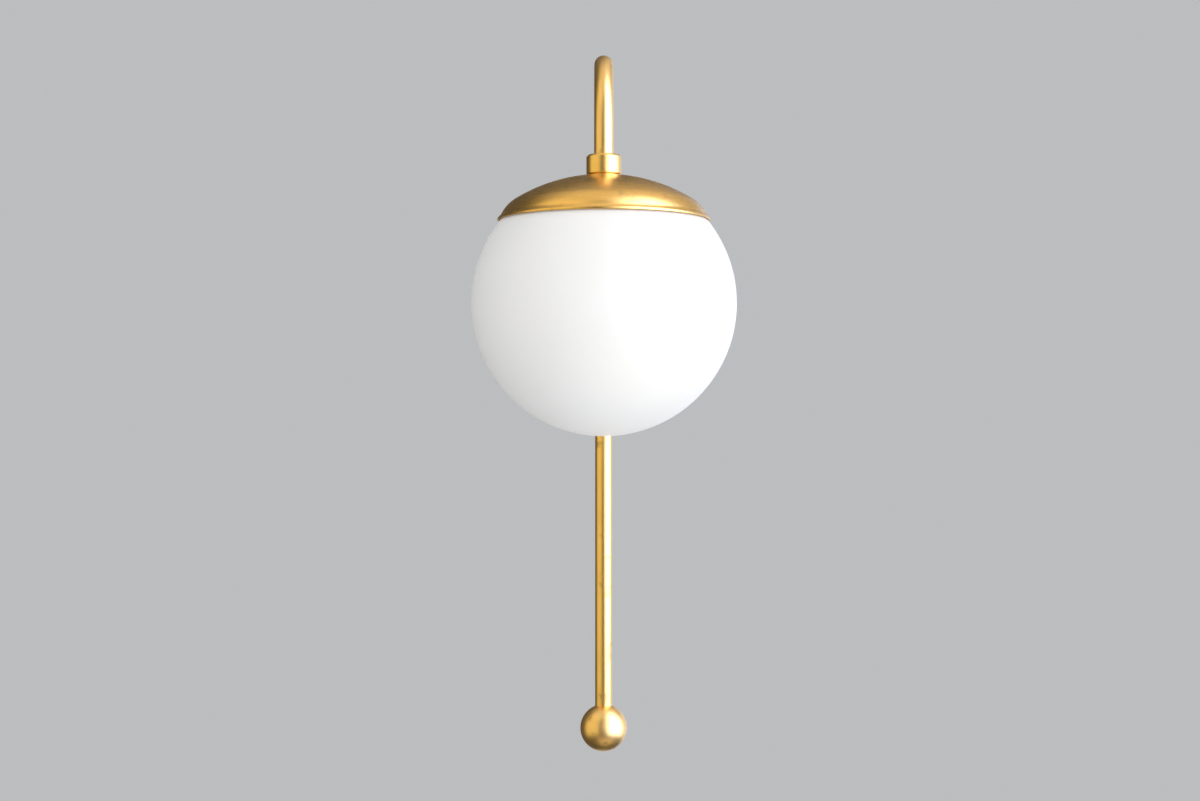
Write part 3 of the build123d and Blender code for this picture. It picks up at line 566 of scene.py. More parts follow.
class Effect:
    """A node group that several finishes share, built from a vector and a few values."""

    def __init__(self, name: str, values: Sequence[str], outputs: Sequence[str]) -> None:
        """Start the group.

        Args:
            name: its name.
            values: names of the inputs after the vector.
            outputs: names of its outputs.
        """
        self.tree = bpy.data.node_groups.new(name, "ShaderNodeTree")
        self.tree.interface.new_socket("Vector", in_out="INPUT", socket_type="NodeSocketVector")
        for label in values:
            self.tree.interface.new_socket(label, in_out="INPUT", socket_type="NodeSocketFloat")
        for label in outputs:
            self.tree.interface.new_socket(label, in_out="OUTPUT", socket_type="NodeSocketFloat")
        self.graph = Graph(self.tree)
        self.given = self.tree.nodes.new("NodeGroupInput").outputs
        self.result = self.tree.nodes.new("NodeGroupOutput").inputs

    def close(self, *results: Socket) -> bpy.types.NodeTree:
        """Feed the outputs in their order.

        Args:
            results: one socket for each output.

        Returns:
            The finished group.
        """
        for slot, entry in zip(self.result, results):
            self.graph.feed(slot, entry)
        return self.tree


def patina_group() -> bpy.types.NodeTree:
    """Cloudy tarnish with a few darker smudges, as unlacquered metal gets from hands and air.

    Returns:
        The group, with the outputs Clouds and Smudges.
    """
    cloud_range, smudge_range = (0.35, 0.7), (0.74, 0.86)
    spot_scale, edge_scale, raggedness = 3.1, 14.0, 0.18
    effect = Effect("patina", ["Size"], ["Clouds", "Smudges"])
    graph = effect.graph
    near = graph.scaled(effect.given["Vector"], effect.given["Size"])
    clouds = graph.noise(near, 1.0, 5.0, 0.6)
    spots = graph.noise(near, spot_scale, 2.0, 0.4)
    edge = graph.noise(near, edge_scale, 3.0, 0.6)
    ragged = graph.math("ADD", spots, graph.math("MULTIPLY", edge, raggedness))
    return effect.close(graph.spread(clouds, *cloud_range), graph.spread(ragged, *smudge_range))


def polish_group() -> bpy.types.NodeTree:
    """Fine lines of a polishing wheel: rings about Z where Rings is 1, lines along Z where it is 0.

    Returns:
        The group, with the outputs Lines and Streaks.
    """
    turn_stretch, line_stretch, streak_scale = 0.0008, 0.006, 0.17
    effect = Effect("polish lines", ["Rings", "Fineness"], ["Lines", "Streaks"])
    graph = effect.graph
    across, deep, up = graph.parts(effect.given["Vector"])
    turn = graph.math("MULTIPLY", graph.math("ARCTAN2", deep, across), turn_stretch)
    rings = graph.vector(graph.length(across, deep), turn, up)
    lines = graph.vector(across, deep, graph.math("MULTIPLY", up, line_stretch))
    chosen = graph.value("Mix", effect.given["Rings"], *[None] * 3, lines, rings, output=1,
                         data_type="VECTOR")
    scaled = graph.scaled(chosen, effect.given["Fineness"])
    return effect.close(graph.noise(scaled, 1.0, 4.0, 0.7), graph.noise(scaled, streak_scale, 2.0, 0.5))


def grain_group() -> bpy.types.NodeTree:
    """Fine all-over grain of a moulded, cast or etched surface, with slow drifts of tone.

    Returns:
        The group, with the outputs Grain and Drift.
    """
    drift_scale = 0.03
    effect = Effect("grain", ["Fineness"], ["Grain", "Drift"])
    graph = effect.graph
    scaled = graph.scaled(effect.given["Vector"], effect.given["Fineness"])
    return effect.close(graph.noise(scaled, 1.0, 3.0, 0.6), graph.noise(scaled, drift_scale, 2.0, 0.5))


class Effects:
    """The node groups that several finishes share, each made once."""

    def __init__(self) -> None:
        """Make the groups."""
        self.patina = patina_group()
        self.polish = polish_group()
        self.grain = grain_group()


class Grain(Enum):
    """Which way the polishing lines of a metal piece run."""

    RINGS = "rings round the axis"
    LINES = "lines along the axis"
    CANE = "lines along the bent tube"


# Finishes


@dataclass(frozen=True)
class Coat:
    """What a finish feeds to its shader. The relief's depth is in metres."""

    colour: Socket | Colour
    roughness: Socket
    relief: Socket
    strength: float
    depth: float


@dataclass(frozen=True)
class Finish(ABC):
    """A surface finish that gives one material."""

    name: str
    settings: ClassVar[dict[str, float | Colour]] = {}

    def material(self, effects: Effects) -> bpy.types.Material:
        """The finish's material, made on first use.

        Args:
            effects: the shared node groups.

        Returns:
            The material.
        """
        known = bpy.data.materials.get(self.name)
        if known:
            return known
        made = bpy.data.materials.new(self.name)
        made.use_nodes = True
        graph = Graph(made.node_tree)
        coat = self.coat(graph, effects)
        bump = graph.node("Bump")
        for name, value in (("Height", coat.relief), ("Strength", coat.strength), ("Distance", coat.depth)):
            graph.feed(bump.inputs[name], value)
        fed = {"Base Color": coat.colour, "Roughness": coat.roughness, "Normal": bump.outputs[0]}
        shader = made.node_tree.nodes["Principled BSDF"]
        for name, value in (fed | self.settings).items():
            graph.feed(shader.inputs[name], value)
        return made

    @abstractmethod
    def coat(self, graph: Graph, effects: Effects) -> Coat:
        """Add the finish's nodes and say what goes to the shader."""


@dataclass(frozen=True)
class SatinBrass(Finish):
    """Unlacquered brass, polished by hand to a satin and a little aged."""

    settings: ClassVar[dict[str, float | Colour]] = {"Metallic": 1.0}
    centre: tuple[float, float, float] = (0.0, 0.0, 0.0)
    grain: Grain = Grain.RINGS
    outwards: bool = False
    bend: tuple[float, float, float] = (0.0, 0.0, 0.0)
    bright: Colour = (0.92, 0.585, 0.165)
    aged: Colour = (0.70, 0.40, 0.095)
    smudge: Colour = (0.30, 0.18, 0.07)
    roughness: float = 0.24
    cloud_size: float = 34.0
    fineness: float = 5200.0
    age_range: tuple[float, float] = (0.05, 0.38)
    streak_range: tuple[float, float] = (0.7, 1.2)
    smudge_share: float = 0.55
    rough_share: float = 0.06
    smudge_rough: float = 0.2

    def cane_coordinates(self, graph: Graph) -> Socket:
        """Coordinates along a cane-shaped tube: side, distance from its middle line, and way along it.

        Args:
            graph: the material's graph.

        Returns:
            The coordinates.
        """
        middle_y, bend_z, bend_radius = self.bend
        side, back, up = graph.parts(graph.placed((0, middle_y, bend_z)))
        above = graph.math("MAXIMUM", up, 0.0)
        reach = graph.math("SUBTRACT", graph.length(back, above), bend_radius)
        round_bend = graph.math("MULTIPLY", graph.math("ARCTAN2", above, back), bend_radius)
        on_leg = graph.math("MULTIPLY", graph.math("SIGN", back), graph.math("MINIMUM", up, 0.0))
        return graph.vector(side, reach, graph.math("ADD", round_bend, on_leg))

    def coat(self, graph: Graph, effects: Effects) -> Coat:
        """Brass colour with clouds of age, wheel lines and a few smudges.

        Args:
            graph: the material's graph.
            effects: the shared node groups.

        Returns:
            The coat.
        """
        caned = self.grain is Grain.CANE
        place = self.cane_coordinates(graph) if caned else graph.placed(self.centre, self.outwards)
        clouds, smudges = graph.group(effects.patina, vector=place, size=self.cloud_size)
        rings = 1.0 if self.grain is Grain.RINGS else 0.0
        lines, streaks = graph.group(effects.polish, vector=place, rings=rings, fineness=self.fineness)
        age = graph.math("MULTIPLY", graph.spread(clouds, 0, 1, *self.age_range),
                         graph.level(streaks, *self.streak_range))
        stain = graph.math("MULTIPLY", smudges, self.smudge_share)
        tone = graph.blend(stain, graph.blend(age, self.bright, self.aged), self.smudge)
        rough = graph.math("ADD", graph.level(lines, self.roughness - 0.05, self.roughness + 0.06),
                           graph.math("MULTIPLY", clouds, self.rough_share))
        rough = graph.math("ADD", rough, graph.math("MULTIPLY", stain, self.smudge_rough))
        return Coat(tone, rough, lines, strength=0.10, depth=0.02 * MM)


@dataclass(frozen=True)
class OpalGlass(Finish):
    """White opal glass, etched to a satin outside."""

    settings: ClassVar[dict[str, float | Colour]] = {
        "Subsurface Weight": 0.35, "Subsurface Scale": 8 * MM, "Subsurface Radius": (1.0, 0.9, 0.8)}
    centre: tuple[float, float, float] = (0.0, 0.0, 0.0)
    pale: Colour = (0.93, 0.93, 0.925)
    warm: Colour = (0.90, 0.885, 0.86)
    fineness: float = 2400.0
    drift_scale: float = 9.0

    def coat(self, graph: Graph, effects: Effects) -> Coat:
        """Milky white with slow drifts of depth and a fine etched grain.

        Args:
            graph: the material's graph.
            effects: the shared node groups.

        Returns:
            The coat.
        """
        place = graph.placed(self.centre)
        grain, _ = graph.group(effects.grain, vector=place, fineness=self.fineness)
        depth = graph.noise(place, self.drift_scale, 2.0, 0.5)
        tone = graph.blend(graph.level(depth), self.pale, self.warm)
        return Coat(tone, graph.level(grain, 0.36, 0.46), grain, strength=0.12, depth=0.01 * MM)


@dataclass(frozen=True)
class PlatedSteel(Finish):
    """Steel with a thin plated coat, such as zinc or nickel."""

    settings: ClassVar[dict[str, float | Colour]] = {"Metallic": 1.0}
    tone: Colour = (0.60, 0.62, 0.64)
    cast: Colour = (0.52, 0.50, 0.42)
    roughness: float = 0.34
    spangle: float = 420.0
    cloud_size: float = 70.0
    flake_share: float = 0.6
    cloud_share: float = 0.5

    def coat(self, graph: Graph, effects: Effects) -> Coat:
        """Grey metal with small crystals of the coat and faint handling marks.

        Args:
            graph: the material's graph.
            effects: the shared node groups.

        Returns:
            The coat.
        """
        place = graph.placed()
        crystals = graph.value("TexVoronoi", place, None, self.spangle, feature="F1")
        clouds, _ = graph.group(effects.patina, vector=place, size=self.cloud_size)
        tint = graph.math("ADD", graph.math("MULTIPLY", crystals, self.flake_share),
                          graph.math("MULTIPLY", clouds, self.cloud_share))
        rough = graph.spread(tint, 0, 1, self.roughness - 0.08, self.roughness + 0.1)
        return Coat(graph.blend(tint, self.tone, self.cast), rough, crystals, strength=0.15, depth=0.02 * MM)


@dataclass(frozen=True)
class StampedBrass(Finish):
    """Bright brass strip, rolled and stamped, for contacts and terminals."""

    settings: ClassVar[dict[str, float | Colour]] = {"Metallic": 1.0}
    tone: Colour = (0.86, 0.64, 0.28)
    dull: Colour = (0.62, 0.42, 0.20)
    cloud_size: float = 120.0
    cloud_share: float = 0.6
    fineness: float = 2600.0

    def coat(self, graph: Graph, effects: Effects) -> Coat:
        """Rolled lines one way, and a slight dulling in clouds.

        Args:
            graph: the material's graph.
            effects: the shared node groups.

        Returns:
            The coat.
        """
        place = graph.placed()
        clouds, _ = graph.group(effects.patina, vector=place, size=self.cloud_size)
        lines, _ = graph.group(effects.polish, vector=place, rings=0.0, fineness=self.fineness)
        dulling = graph.math("MULTIPLY", clouds, self.cloud_share)
        tone = graph.blend(dulling, self.tone, self.dull)
        return Coat(tone, graph.level(lines, 0.22, 0.36), lines, strength=0.2, depth=0.02 * MM)


@dataclass(frozen=True)
class Porcelain(Finish):
    """White porcelain under a clear glaze."""

    settings: ClassVar[dict[str, float | Colour]] = {"Coat Weight": 0.6, "Coat Roughness": 0.06}
    body: Colour = (0.86, 0.85, 0.81)
    speck: Colour = (0.45, 0.38, 0.30)
    fineness: float = 900.0
    speck_scale: float = 1300.0
    speck_range: tuple[float, float] = (0.76, 0.80)
    speck_share: float = 0.7

    def coat(self, graph: Graph, effects: Effects) -> Coat:
        """Off-white with rare kiln specks and a soft ripple in the glaze.

        Args:
            graph: the material's graph.
            effects: the shared node groups.

        Returns:
            The coat.
        """
        place = graph.placed()
        _, drift = graph.group(effects.grain, vector=place, fineness=self.fineness)
        spots = graph.noise(place, self.speck_scale, 1.0, 0.4)
        specks = graph.spread(spots, *self.speck_range, 0.0, self.speck_share)
        tone = graph.blend(specks, self.body, self.speck)
        return Coat(tone, graph.level(drift, 0.10, 0.2), drift, strength=0.2, depth=0.1 * MM)


@dataclass(frozen=True)
class Moulded(Finish):
    """Plain moulded or enamelled surface in one colour."""

    tone: Colour = (0.8, 0.8, 0.78)
    roughness: float = 0.45
    fineness: float = 1500.0
    relief: float = 0.25
    darkening: float = 0.82

    def coat(self, graph: Graph, effects: Effects) -> Coat:
        """One colour with a fine grain, and slow drifts in tone and gloss.

        Args:
            graph: the material's graph.
            effects: the shared node groups.

        Returns:
            The coat.
        """
        grain, drift = graph.group(effects.grain, vector=graph.placed(), fineness=self.fineness)
        darker = tuple(value * self.darkening for value in self.tone)
        rough = graph.level(grain, self.roughness - 0.05, self.roughness + 0.07)
        return Coat(graph.blend(graph.level(drift), self.tone, darker), rough, grain, self.relief, 0.03 * MM)


@dataclass(frozen=True)
class BareWire(Finish):
    """Bare drawn metal: copper, or a bright tip of solder."""

    settings: ClassVar[dict[str, float | Colour]] = {"Metallic": 1.0}
    tone: Colour = (0.80, 0.38, 0.22)
    dull: Colour = (0.42, 0.18, 0.10)
    roughness: float = 0.3
    cloud_size: float = 200.0

    def coat(self, graph: Graph, effects: Effects) -> Coat:
        """Metal with clouds of oxide.

        Args:
            graph: the material's graph.
            effects: the shared node groups.

        Returns:
            The coat.
        """
        clouds, _ = graph.group(effects.patina, vector=graph.placed(), size=self.cloud_size)
        rough = graph.spread(clouds, 0, 1, self.roughness, self.roughness + 0.2)
        return Coat(graph.blend(clouds, self.tone, self.dull), rough, clouds, strength=0.2, depth=0.03 * MM)


@dataclass(frozen=True)
class ClearGlass(Finish):
    """Thin clear bulb glass with a faint waviness."""

    settings: ClassVar[dict[str, float | Colour]] = {"Transmission Weight": 1.0, "IOR": 1.47}
    tone: Colour = (0.98, 0.985, 0.98)
    fineness: float = 1500.0

    def coat(self, graph: Graph, effects: Effects) -> Coat:
        """Clear glass whose surface drifts very slightly, as blown glass does."""
        _, drift = graph.group(effects.grain, vector=graph.placed(), fineness=self.fineness)
        return Coat(self.tone, graph.level(drift, 0.0, 0.02), drift, strength=0.05, depth=0.2 * MM)


ZINC = PlatedSteel("zinc plated steel")


# Sub-assemblies


@dataclass
class SubAssembly(ABC):
    """A group of pieces that are built and dressed together."""

    effects: Effects

    def keep(self, piece: Piece, finish: Finish, slot: str, node: str, body: str = FIXTURE,
             smooth: float = 35.0) -> None:
        """Finish a new piece and put it in the place of its node.

        Args:
            piece: the finished mesh, at its place in the frame.
            finish: its finish.
            slot: not used.
            node: the node that it stands for.
            body: the body that it rides on.
            smooth: edges that turn by less than this many degrees are shaded smooth.
        """
        pick(piece)
        bpy.ops.object.shade_smooth_by_angle(angle=math.radians(smooth))
        piece.data.materials.clear()
        piece.data.materials.append(finish.material(self.effects))
        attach(piece, body)
        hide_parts(node)
        log.info("%s stands for %s on %s, %d faces", piece.name, node, body, len(piece.data.polygons))

    def keep_zinc(self, piece: Piece, place: Point, node: str, outwards: bool = False,
                  smooth: float = 35.0) -> None:
        """Set a plated piece in its place and keep it."""
        self.keep(moved(piece, place, outwards), ZINC, "zinc_steel", node, smooth=smooth)

    def dress(self, finish: Finish, *nodes: str) -> None:
        """Give nodes of the frame a finish.

        Args:
            finish: the finish.
            nodes: names of the nodes.
        """
        material = finish.material(self.effects)
        for node in nodes:
            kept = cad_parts[node]
            if kept.material_slots:
                for place in kept.material_slots:
                    place.material = material
            else:
                kept.data.materials.append(material)
            log.info("%s keeps its own mesh, in %s", node, finish.name)

    @abstractmethod
    def build(self) -> None:
        """Model and dress the pieces."""


@dataclass
class GlobeHead(SubAssembly):
    """The glass globe with the dome cap and the collar above it."""

    glass_wall: float = 2.5 * MM
    lip_bead: float = 1.3 * MM
    lip_steps: int = 8
    cap_wall: float = 1.0 * MM
    shoulder_radius: float = 20.5 * MM
    shoulder_angle: float = 66.0
    flare_height: float = 2.9 * MM
    flare_out: float = 1.85 * MM
    flare_ease: float = 1.6 * MM
    inner_flare_ease: float = 1.1 * MM
    lip_height: float = 1.3 * MM
    rim_ease: float = 0.48 * MM
    seat_press: float = 0.45 * MM
    collar_chamfer: float = 1.2 * MM
    collar_ease: float = 0.22 * MM
    groove_depth: float = 2.2 * MM
    groove_height: float = 0.6 * MM

    def build(self) -> None:
        """Turn the three pieces on the lamp's axis."""
        self.globe = Extent.of("globe")
        self.axis = Vector((0, self.globe.middle.y, 0))
        self.build_globe()
        self.build_cap()
        self.build_collar()

    def build_globe(self) -> None:
        """Blow the glass: two concentric arcs joined by a fire-polished lip."""
        outer = self.globe.size.x / 2
        inner = outer - self.glass_wall
        lip_z = self.globe.high.z - self.lip_bead
        turn_out, turn_in = (math.degrees(math.asin(lip_z / radius)) for radius in (outer, inner))
        lip_out = outer * math.cos(math.radians(turn_out))
        lip_in = inner * math.cos(math.radians(turn_in))
        middle, half = (lip_out + lip_in) / 2, (lip_out - lip_in) / 2
        bead = []
        for step in range(1, self.lip_steps):
            turn = math.pi * step / self.lip_steps
            bead.append((middle + half * math.cos(turn), lip_z + self.lip_bead * math.sin(turn)))
        outside = [(0, -outer)] + arc((0, 0), outer, -90, turn_out, steps=72)[1:]
        inside = arc((0, 0), inner, turn_in, -90, steps=60)[:-1] + [(0, -inner)]
        glass = moved(turned("opal_globe", outside + bead + inside, segments=144), self.axis)
        finish = OpalGlass("opal glass", centre=tuple(self.axis))
        self.keep(glass, finish, "opal_glass", "globe", body="globe", smooth=60)

    def build_cap(self) -> None:
        """Spin the cap: crown, shoulder, flared rim and a rolled lip."""
        cap = Extent.of("dome_cap")
        rim_z, top_z, rim, wall = cap.low.z, cap.high.z, cap.size.x / 2, self.cap_wall
        edge = (rim - self.flare_out, rim_z + self.flare_height)
        lean = math.radians(self.shoulder_angle)
        shoulder = (edge[0] - self.shoulder_radius * math.sin(lean),
                    edge[1] - self.shoulder_radius * math.cos(lean))
        apex = top_z + self.seat_press
        drop = apex - self.shoulder_radius
        crown_z = (drop**2 - shoulder[0]**2 - shoulder[1]**2) / (2 * (drop - shoulder[1]))
        crown = apex - crown_z
        inner_crown = crown - wall
        join = math.degrees(math.atan2(shoulder[1] - crown_z, shoulder[0]))
        start = math.degrees(math.asin((top_z - crown_z) / crown))
        inner_start = math.degrees(math.asin((top_z - wall - crown_z) / inner_crown))
        lean_turn = 90 - self.shoulder_angle
        outside = (arc((0, crown_z), crown, start, join, steps=26)
                   + arc(shoulder, self.shoulder_radius, join, lean_turn, steps=14)[1:])
        inside = (arc(shoulder, self.shoulder_radius - wall, lean_turn, join, steps=14)
                  + arc((0, crown_z), inner_crown, join, inner_start, steps=26)[1:])
        lip_z = rim_z + self.lip_height
        corners = [(*point, 0.0) for point in outside]
        corners += [(rim, lip_z, self.flare_ease), (rim, rim_z, self.rim_ease),
                    (rim - wall, rim_z, self.rim_ease), (rim - wall, lip_z, self.inner_flare_ease)]
        corners += [(*point, 0.0) for point in inside]
        corners += [(PIPE.tapped_radius, top_z - wall, 0.0), (PIPE.tapped_radius, top_z, 0.0)]
        piece = moved(turned("spun_cap", rounded(corners, steps=6), segments=160), self.axis)
        brass = SatinBrass("satin brass, cap", centre=tuple(self.axis), bright=(0.89, 0.545, 0.15),
                           aged=(0.62, 0.345, 0.09), roughness=0.26, cloud_size=26.0)
        self.keep(piece, brass, "satin_brass", "dome_cap", smooth=50)

    def build_collar(self) -> None:
        """Turn the collar, with a chamfer at each end and a shadow groove above the cap."""
        collar = Extent.of("collar")
        low, high, outer, bore = collar.low.z, collar.high.z, collar.size.x / 2, PIPE.tapped_radius
        cut, ease = self.collar_chamfer, self.collar_ease
        neck, seat = outer - self.groove_depth, low + self.groove_height
        corners = [(bore, low, 0.0), (neck, low, 0.0), (neck, seat, 0.0), (outer - cut / 2, seat, ease),
                   (outer, seat + cut / 2, ease), (outer, high - cut, ease), (outer - cut, high, ease),
                   (bore, high, 0.0)]
        piece = moved(turned("turned_collar", rounded(corners, steps=4), segments=112), self.axis)
        brass = SatinBrass("satin brass, collar", centre=tuple(self.axis), roughness=0.28)
        self.keep(piece, brass, "satin_brass", "collar")


@dataclass
class Stem(SubAssembly):
    """The cane arm, the hub, the lower rod and the ball finial."""

    tube_wall: float = 1.4 * MM
    front_leg_steps: int = 4
    rear_leg_steps: int = 8
    thread_reach: float = 8.0 * MM
    seat_margin: float = 0.35 * MM
    hole_depth: float = 9.0 * MM
    hub_boss_radius: float = 8.0 * MM
    hub_chamfer: float = 1.2 * MM
    hub_ease: float = 0.25 * MM
    rod_radius: float = 5.15 * MM
    rod_ease: float = 0.3 * MM

    def build(self) -> None:
        """Model the four pieces from the top down."""
        self.rod_axis = Vector((0, Extent.of("ball_finial").middle.y, 0))
        self.build_arm()
        self.build_hub()
        self.build_rod()
        self.build_ball()

    def build_arm(self) -> None:
        """Draw a ring up the front leg, round the bend and down the rear leg, then give it a wall."""
        arm = Extent.of("cane_arm")
        start_z, end_z = Extent.of("collar").high.z, Extent.of("hub").high.z
        radius = arm.size.x / 2
        front_y, rear_y = arm.low.y + radius, arm.high.y - radius
        bend = (rear_y - front_y) / 2
        bend_y, bend_z = front_y + bend, arm.high.z - radius - bend
        pick()
        bpy.ops.mesh.primitive_circle_add(vertices=64, radius=radius, location=(0, front_y, start_z))
        tube = bpy.context.active_object
        tube.name = "bent_arm"
        settle(tube)
        with editing(tube):
            self.draw_leg(bend_z - start_z, self.front_leg_steps)
            bpy.ops.mesh.spin(steps=72, angle=math.pi, center=(0, bend_y, bend_z), axis=(1, 0, 0))
            self.draw_leg(end_z - bend_z, self.rear_leg_steps)
        weld(tube)
        wall = tube.modifiers.new("wall", "SOLIDIFY")
        wall.thickness = self.tube_wall
        wall.offset = -1
        pick(tube)
        bpy.ops.object.modifier_apply(modifier=wall.name)
        brass = SatinBrass("satin brass, arm", grain=Grain.CANE, bend=(bend_y, bend_z, bend),
                           bright=(0.93, 0.605, 0.205), roughness=0.31)
        self.keep(tube, brass, "satin_brass", "cane_arm", smooth=50)

    @staticmethod
    def draw_leg(rise: float, steps: int) -> None:
        """Draw the selected ring up or down in equal steps."""
        for _ in range(steps):
            bpy.ops.mesh.extrude_region_move(TRANSFORM_OT_translate={"value": (0, 0, rise / steps)})

    def build_hub(self) -> None:
        """Turn the body, join the boss to it and bore both."""
        hub = Extent.of("hub")
        back_y = Extent.of("wall_canopy").low.y
        outer, high, ease, cut = hub.size.x / 2, hub.high.z, self.hub_ease, self.hub_chamfer
        corners = [(0, -high, 0.0), (outer - cut, -high, ease), (outer, cut - high, ease),
                   (outer, high - cut, ease), (outer - cut, high, ease), (0, high, 0.0)]
        body = turned("turned_hub", rounded(corners, steps=3, closed=False), segments=96)
        moved(body, self.rod_axis)
        reach, boss = back_y - self.rod_axis.y, self.hub_boss_radius
        corners = [(0, 0, 0.0), (boss, 0, ease), (boss, reach, 0.0), (0, reach, 0.0)]
        boss_piece = turned("boss", rounded(corners, steps=3, closed=False), segments=80)
        combined(body, moved(boss_piece, (0, back_y, 0), outwards=True), "UNION")
        drilled(body, PIPE.tapped_radius, -high * 2, high * 2, self.rod_axis)
        drilled(body, PIPE.tapped_radius, -high, reach, (0, back_y, 0), outwards=True)
        brass = SatinBrass("satin brass, hub", centre=tuple(self.rod_axis), roughness=0.24)
        self.keep(body, brass, "satin_brass", "hub")

    def build_rod(self) -> None:
        """Turn the pipe with a rolled thread at each end."""
        rod = Extent.of("lower_rod")
        low, high, thread = rod.low.z, rod.high.z, PIPE.thread
        seat, top = low + self.thread_reach, high - self.thread_reach
        corners = [(PIPE.root, z, 0.0) for z in thread.rings(low, seat)]
        corners += [(self.rod_radius, seat, self.rod_ease), (self.rod_radius, top, self.rod_ease)]
        corners += [(PIPE.root, z, 0.0) for z in thread.rings(top, high)]
        corners += [(PIPE.bore, high, 0.0), (PIPE.bore, low, 0.0)]
        piece = turned("drawn_rod", rounded(corners, steps=3), segments=64)
        thread.roll(piece, PIPE.root, low, seat)
        thread.roll(piece, PIPE.root, top, high)
        brass = SatinBrass("satin brass, rod", centre=tuple(self.rod_axis), grain=Grain.LINES, roughness=0.30)
        self.keep(moved(piece, self.rod_axis), brass, "satin_brass", "lower_rod", smooth=50)

    def build_ball(self) -> None:
        """Turn the ball, with a spot face and a tapped hole on top."""
        ball = Extent.of("ball_finial")
        radius = ball.size.x / 2
        centre_z = ball.low.z + radius
        seat_radius = self.rod_radius + self.seat_margin
        seat_z = centre_z + math.sqrt(radius**2 - seat_radius**2)
        hole_z = seat_z - self.hole_depth
        profile = [(0, hole_z), (PIPE.tapped_radius, hole_z), (PIPE.tapped_radius, seat_z)]
        seat_turn = math.degrees(math.acos(seat_radius / radius))
        profile += arc((0, centre_z), radius, seat_turn, -90, steps=56)[:-1]
        profile.append((0, centre_z - radius))
        piece = moved(turned("turned_ball", profile, segments=112), self.rod_axis)
        brass = SatinBrass("satin brass, ball", centre=(0, self.rod_axis.y, centre_z),
                           bright=(0.95, 0.62, 0.215), roughness=0.33, cloud_size=60.0)
        self.keep(piece, brass, "satin_brass", "ball_finial", smooth=50)


